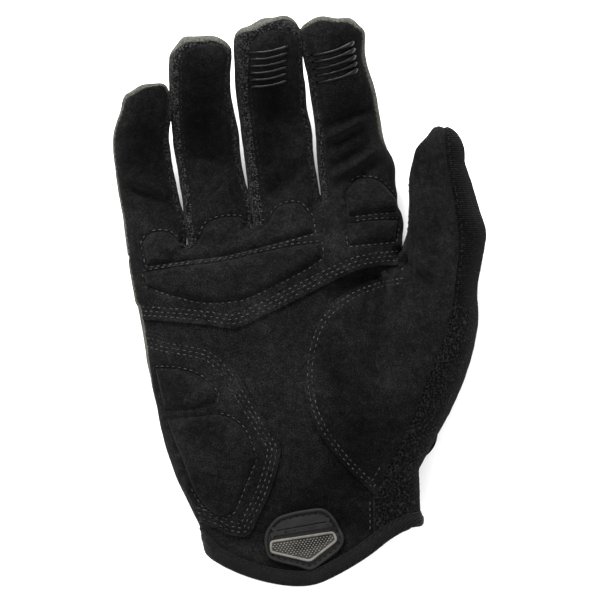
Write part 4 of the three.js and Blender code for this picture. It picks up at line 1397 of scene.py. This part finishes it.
def knit():
    """Coarse stretch knit with light and dark yarns."""
    m = new_finish("knit", Roughness=0.9, Specular_IOR_Level=0.03, Sheen_Weight=0.02)
    place = object_place(m)
    loops = node(m, "TexVoronoi", {"Vector": place, "Scale": 2500.0, "Randomness": 0.8})
    yarns = node(m, "SeparateColor", {"Color": loops.outputs["Color"]}).outputs[0]
    tone = blended(m, [(yarns, 0.6), (grain(m, place, 0.7, 2, 0.7), 0.4)])
    feed(m, "Base Color", ramp(m, tone, [(0.25, 0.0003), (0.48, 0.0012), (0.6, 0.006), (0.78, 0.03)]))
    set_bump(m, (loops.outputs["Distance"], -0.35))
    return m


def terry():
    """The thumb's back: a ribbed knit above, and looped terry below it."""
    m = new_finish("terry", Roughness=1.0, Specular_IOR_Level=0.01, Sheen_Weight=0.02, Sheen_Roughness=0.5)
    place = object_place(m)
    loops = node(m, "TexVoronoi", {"Vector": place, "Scale": 1150.0, "Randomness": 1.0})
    fuzz = grain(m, place, 0.55, 3, 0.8)
    lines = node(m, "TexWave", {
        "Vector": place, "Scale": 420.0, "Distortion": 1.2, "Detail": 2.0, "Detail Scale": 3.0,
    }, wave_type="BANDS", bands_direction="Y").outputs["Fac"]
    height = node(m, "SeparateXYZ", {"Vector": place}).outputs["Y"]
    upper = node(m, "MapRange", {"Value": height, "From Min": -0.004, "From Max": 0.003}).outputs["Result"]
    low_tone = blended(m, [(fuzz, 0.7), (loops.outputs["Distance"], 0.3)])
    high_tone = blended(m, [(lines, 0.05), (grain(m, place, 0.8, 3, 0.7), 0.6), (fuzz, 0.3)])
    tone = node(m, "Mix", {"Factor": upper, "A": low_tone, "B": high_tone}).outputs["Result"]
    feed(m, "Base Color", ramp(m, tone, [(0.38, 0.0002), (0.48, 0.0013), (0.57, 0.0044), (0.72, 0.015)]))
    relief = node(m, "Mix", {"Factor": upper, "A": loops.outputs["Distance"], "B": lines}).outputs["Result"]
    set_bump(m, (relief, 0.22), (fuzz, 0.3))
    return m


def back_fabric():
    """Khaki heather mesh of the back: a fine weave with mixed yarns."""
    m = new_finish("back_fabric", Roughness=0.85, Specular_IOR_Level=0.1, Sheen_Weight=0.03)
    place = object_place(m)
    weave = node(m, "TexVoronoi", {"Vector": place, "Scale": 2300.0, "Randomness": 0.35})
    yarns = node(m, "SeparateColor", {"Color": weave.outputs["Color"]}).outputs[0]
    tone = blended(m, [(yarns, 0.5), (grain(m, place, 0.6, 2, 0.6), 0.3), (grain(m, place, 14, 3), 0.2)])
    feed(m, "Base Color", ramp(m, tone, [
        (0.25, (0.018, 0.019, 0.0155)), (0.5, (0.037, 0.039, 0.0315)), (0.75, (0.063, 0.066, 0.054))]))
    set_bump(m, (weave.outputs["Distance"], -0.3))
    return m


def binding():
    """Ribbed tape with a fine diagonal twill."""
    m = new_finish("binding", Roughness=0.8, Specular_IOR_Level=0.05, Sheen_Weight=0.02)
    place = object_place(m)
    turned = node(m, "Mapping", {"Vector": place, "Rotation": (0.4, 0.3, 0.75)}).outputs["Vector"]
    twill = node(m, "TexWave", {
        "Vector": turned, "Scale": 480.0, "Distortion": 0.8, "Detail": 1.0,
    }).outputs["Fac"]
    fuzz = grain(m, place, 0.5, 3, 0.7)
    tone = blended(m, [(twill, 0.2), (fuzz, 0.6), (grain(m, place, 5, 3), 0.2)])
    feed(m, "Base Color", ramp(m, tone, [(0.36, 0.0003), (0.5, 0.0015), (0.7, 0.0075)]))
    set_bump(m, (twill, 0.12), (fuzz, 0.12))
    return m


def silicone():
    """Glossy black silicone, slightly uneven where it was printed on."""
    m = new_finish("silicone", Base_Color=(0.001, 0.001, 0.001, 1), Specular_IOR_Level=0.14)
    uneven = grain(m, object_place(m), 1.6, 2)
    rough = node(m, "MapRange", {"Value": uneven, "To Min": 0.16, "To Max": 0.34}).outputs["Result"]
    feed(m, "Roughness", rough)
    set_bump(m, (uneven, 0.08))
    return m


def moulded(name, dark, light):
    """Moulded rubber with a fine grain, painted shade in its low places and painted light on its raised tops.
    """
    m = new_finish(name, Roughness=0.6, Specular_IOR_Level=0.12)
    place = object_place(m)
    fine, worn = grain(m, place, 0.3, 2), grain(m, place, 3.5, 4)
    colour = ramp(m, blended(m, [(fine, 0.4), (worn, 0.6)]), [(0.35, dark), (0.65, light)])
    # The stored value paints shade into low places and light onto raised tops.
    painted_light_and_shade = node(m, "Attribute", attribute_name="painted_light_and_shade").outputs["Fac"]
    feed(m, "Base Color", times(m, colour, painted_light_and_shade))
    set_bump(m, (fine, 0.05))
    return m


def thread(name, dark, light):
    """Sewing thread, a little glossy, its plies twisted."""
    m = new_finish(name, Roughness=0.6, Specular_IOR_Level=0.06)
    place = object_place(m)
    fine, tone = grain(m, place, 0.22, 2), grain(m, place, 3, 3)
    feed(m, "Base Color", ramp(m, blended(m, [(fine, 0.35), (tone, 0.65)]), [(0.38, dark), (0.66, light)]))
    set_bump(m, (fine, 0.06))
    return m


def floor_paper():
    """Plain matt white paper."""
    m = new_finish("floor_paper", Roughness=0.9, Specular_IOR_Level=0.1)
    feed(m, "Base Color", ramp(m, grain(m, object_place(m), 40, 2), [(0.3, 0.88), (0.7, 0.9)]))
    return m


FINISHES = {
    "suede": suede(), "knit": knit(), "terry": terry(), "back_fabric": back_fabric(), "binding": binding(),
    "silicone": silicone(), "rubber": moulded("rubber", 0.0024, 0.006),
    "pale_rubber": moulded("pale_rubber", (0.05, 0.048, 0.042), (0.1, 0.096, 0.084)),
    "thread": thread("thread", 0.003, 0.042), "dark_thread": thread("dark_thread", 0.0006, 0.008),
}
# Where the suede is darker or lighter: partly its nap, and partly painted shade where the fingers curl up, in
# the low palm and on the thumb panel. Across, along, wide, long, and the change.
NAP_AND_SHADE = [
    (0.26, 0.3, 0.17, 0.17, -0.5), (-0.24, 1.32, 0.1, 0.15, -0.75), (0.012, 1.35, 0.09, 0.1, -0.72),
    (0.0, 1.2, 0.1, 0.14, -0.5), (0.3, 1.5, 0.09, 0.08, -0.35), (0.28, 1.34, 0.12, 0.12, -0.5),
    (-0.43, 1.265, 0.09, 0.15, -0.66),
    (-0.47, 1.04, 0.07, 0.07, 0.25), (0.42, 0.7, 0.07, 0.06, -0.45), (0.23, 0.63, 0.08, 0.07, -0.35),
    (0.51, 1.16, 0.05, 0.07, -0.35), (0.31, 0.46, 0.15, 0.13, -0.58), (0.03, 0.69, 0.16, 0.12, 0.2),
    (-0.27, 0.45, 0.1, 0.1, -0.1), (-0.33, 0.55, 0.1, 0.06, -0.25), (0.34, 0.85, 0.1, 0.03, -0.55),
    (0.38, 1.09, 0.08, 0.05, 0.35), (0.08, 0.2, 0.2, 0.1, -0.4), (-0.15, 0.98, 0.1, 0.05, -0.1),
    (-0.05, 0.3, 0.06, 0.12, -0.3),
]


def paint_nap_and_shade(piece):
    """Stores how light a suede piece is at each point: its nap, with painted shade over it."""
    places = points(piece)
    nap = np.ones(len(places))
    for across, along, wide, long, change in NAP_AND_SHADE:
        nap *= 1 + change * near_spot(places, across, along, wide, long)
    # The stored 'nap' value holds painted shade as well as the nap.
    keep(piece, "nap", nap)


# What a piece stores while it is made, and drops when it is done.
LAYERS = {
    "place", "cuff_far", "outward", "front", "back", "slot", "digit", "cuff", "knuckle", "thenar",
    "thumb_side", "heel", "back_knuckles", "thumb_top", *PADS,
}


def dress(piece, name, finish, *nodes):
    """Puts a finished piece in metres on the frame, in place of its CAD nodes."""
    if finish == "suede":
        paint_nap_and_shade(piece)
    piece.data.transform(Matrix.Scale(MM, 4))
    choose(piece)
    piece.name = piece.data.name = name
    bpy.ops.object.shade_smooth_by_angle(angle=math.radians(50))
    for attribute in list(piece.data.attributes):
        if attribute.name in LAYERS:
            piece.data.attributes.remove(attribute)
    piece.data.materials.clear()
    piece.data.materials.append(FINISHES[finish])
    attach(piece, "root")
    if nodes:
        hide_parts(*nodes)
    return piece


def finish_of(name):
    """The finish of a panel."""
    if name.startswith("gusset"):
        return "knit"
    if name.startswith("back"):
        return "back_fabric"
    return {"thumb_back": "terry", "cuff_binding": "binding"}.get(name, "suede")


def cloth_area(solid):
    """One face of a thin solid of the CAD part."""
    return sum(face.area for face in bpy.data.objects[solid].data.polygons) / 2


def declare_cloth(name, piece):
    """Reads the size of a panel's solid in the CAD part and its area, and does nothing with them.

    The cut piece is as long as the solid. It is as wide as the solid is wide and high together,
    because a panel wraps round the hand. Its area leaves out the openings for the pads.
    """
    wide, long, high = bpy.data.objects[name].dimensions
    area = cloth_area(name) - sum(cloth_area(pad) for pad in OPENINGS.get(name, ()))


def wear(skin):
    """Folds and crumples the skin, and stores the way that each of its points faces."""
    places, outward = points(skin), normals(skin)
    places[:, 2] += folded(places, outward)
    places += outward * crumpled(places)[:, None]
    places[:, 2] = np.maximum(places[:, 2], 0)
    set_points(skin, places)
    keep(skin, "outward", normals(skin))


def finish_panel(name, piece):
    """Gives a panel its relief and its rows of stitches. Its thickness comes last."""
    if name in PADS:
        applied(piece, "SUBSURF", subdivision_type="SIMPLE", levels=1, render_levels=1)
    if name == "back_panel":
        applied(piece, "DECIMATE", ratio=0.6)
    shape_relief(name, piece)
    note_rows(name, piece)


skin = make_skin()
wear(skin)
on_skin = surface_of([skin])
panels = make_panels(skin)
for name, piece in panels.items():
    if name == "cuff_binding":
        make_binding(piece)
        continue
    finish_panel(name, piece)
    if name == "finger_panel":
        on_fingers = surface_of([piece])
    applied(piece, "SOLIDIFY", thickness=THICKNESSES.get(name, SHEET), offset=-1, use_rim=True)
tab, wedge, strap, ribs = make_tab(on_skin), make_wedge(on_skin), make_strap(), make_ribs(on_fingers)

for row, thread_row in sew_rows(make_stitch()).items():
    dress(thread_row, "stitches_" + row, "dark_thread" if row in DARK_ROWS else "thread")
for name, piece in panels.items():
    dress(piece, name + ("_foam" if name in PADS else "_cloth"), finish_of(name), name)
    if name in PADS:
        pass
    else:
        declare_cloth(name, piece)
dress(tab, "pull_tab_rubber", "rubber", "pull_tab")
dress(wedge, "pull_tab_wedge_rubber", "pale_rubber", "pull_tab_wedge")
dress(strap, "closing_strap_webbing", "binding", "closing_strap")
for name, rib in ribs.items():
    dress(rib, name + "_silicone", "silicone", name)


# The studio, in metres.
FLOOR_SIZE = 6
SKY = 1.95
KEY_PLACE = (-0.25, 0.75, 0.6)
KEY_WATTS = 27
KEY_SIZE = 0.6
CAMERA_UP = 1.62
VIEW_PLANE = 0.015
VIEW_WIDTH = 0.21
SENSOR = 36


def make_studio():
    """A pale floor, soft light from the upper left and a camera straight above."""
    deselect()
    bpy.ops.mesh.primitive_plane_add(size=FLOOR_SIZE, location=(0, 0, 0))
    floor = named("floor")
    floor.data.materials.append(floor_paper())
    world = bpy.data.worlds.new("studio")
    world.use_nodes = True
    world.node_tree.nodes["Background"].inputs["Color"].default_value = (1, 1, 1, 1)
    world.node_tree.nodes["Background"].inputs["Strength"].default_value = SKY
    bpy.context.scene.world = world
    bpy.ops.object.light_add(type="AREA", location=KEY_PLACE)
    key = bpy.context.active_object
    key.data.energy = KEY_WATTS
    key.data.size = KEY_SIZE
    key.rotation_euler = (-key.location).to_track_quat("-Z", "Y").to_euler()
    bpy.ops.object.camera_add(location=(0, 0, CAMERA_UP), rotation=(0, 0, 0))
    camera = bpy.context.active_object
    camera.data.sensor_width = SENSOR
    camera.data.lens = SENSOR * (CAMERA_UP - VIEW_PLANE) / VIEW_WIDTH
    camera.data.clip_start = 0.1
    camera.data.clip_end = 20
    bpy.context.scene.camera = camera
    bpy.context.scene.view_settings.view_transform = "Standard"


make_studio()
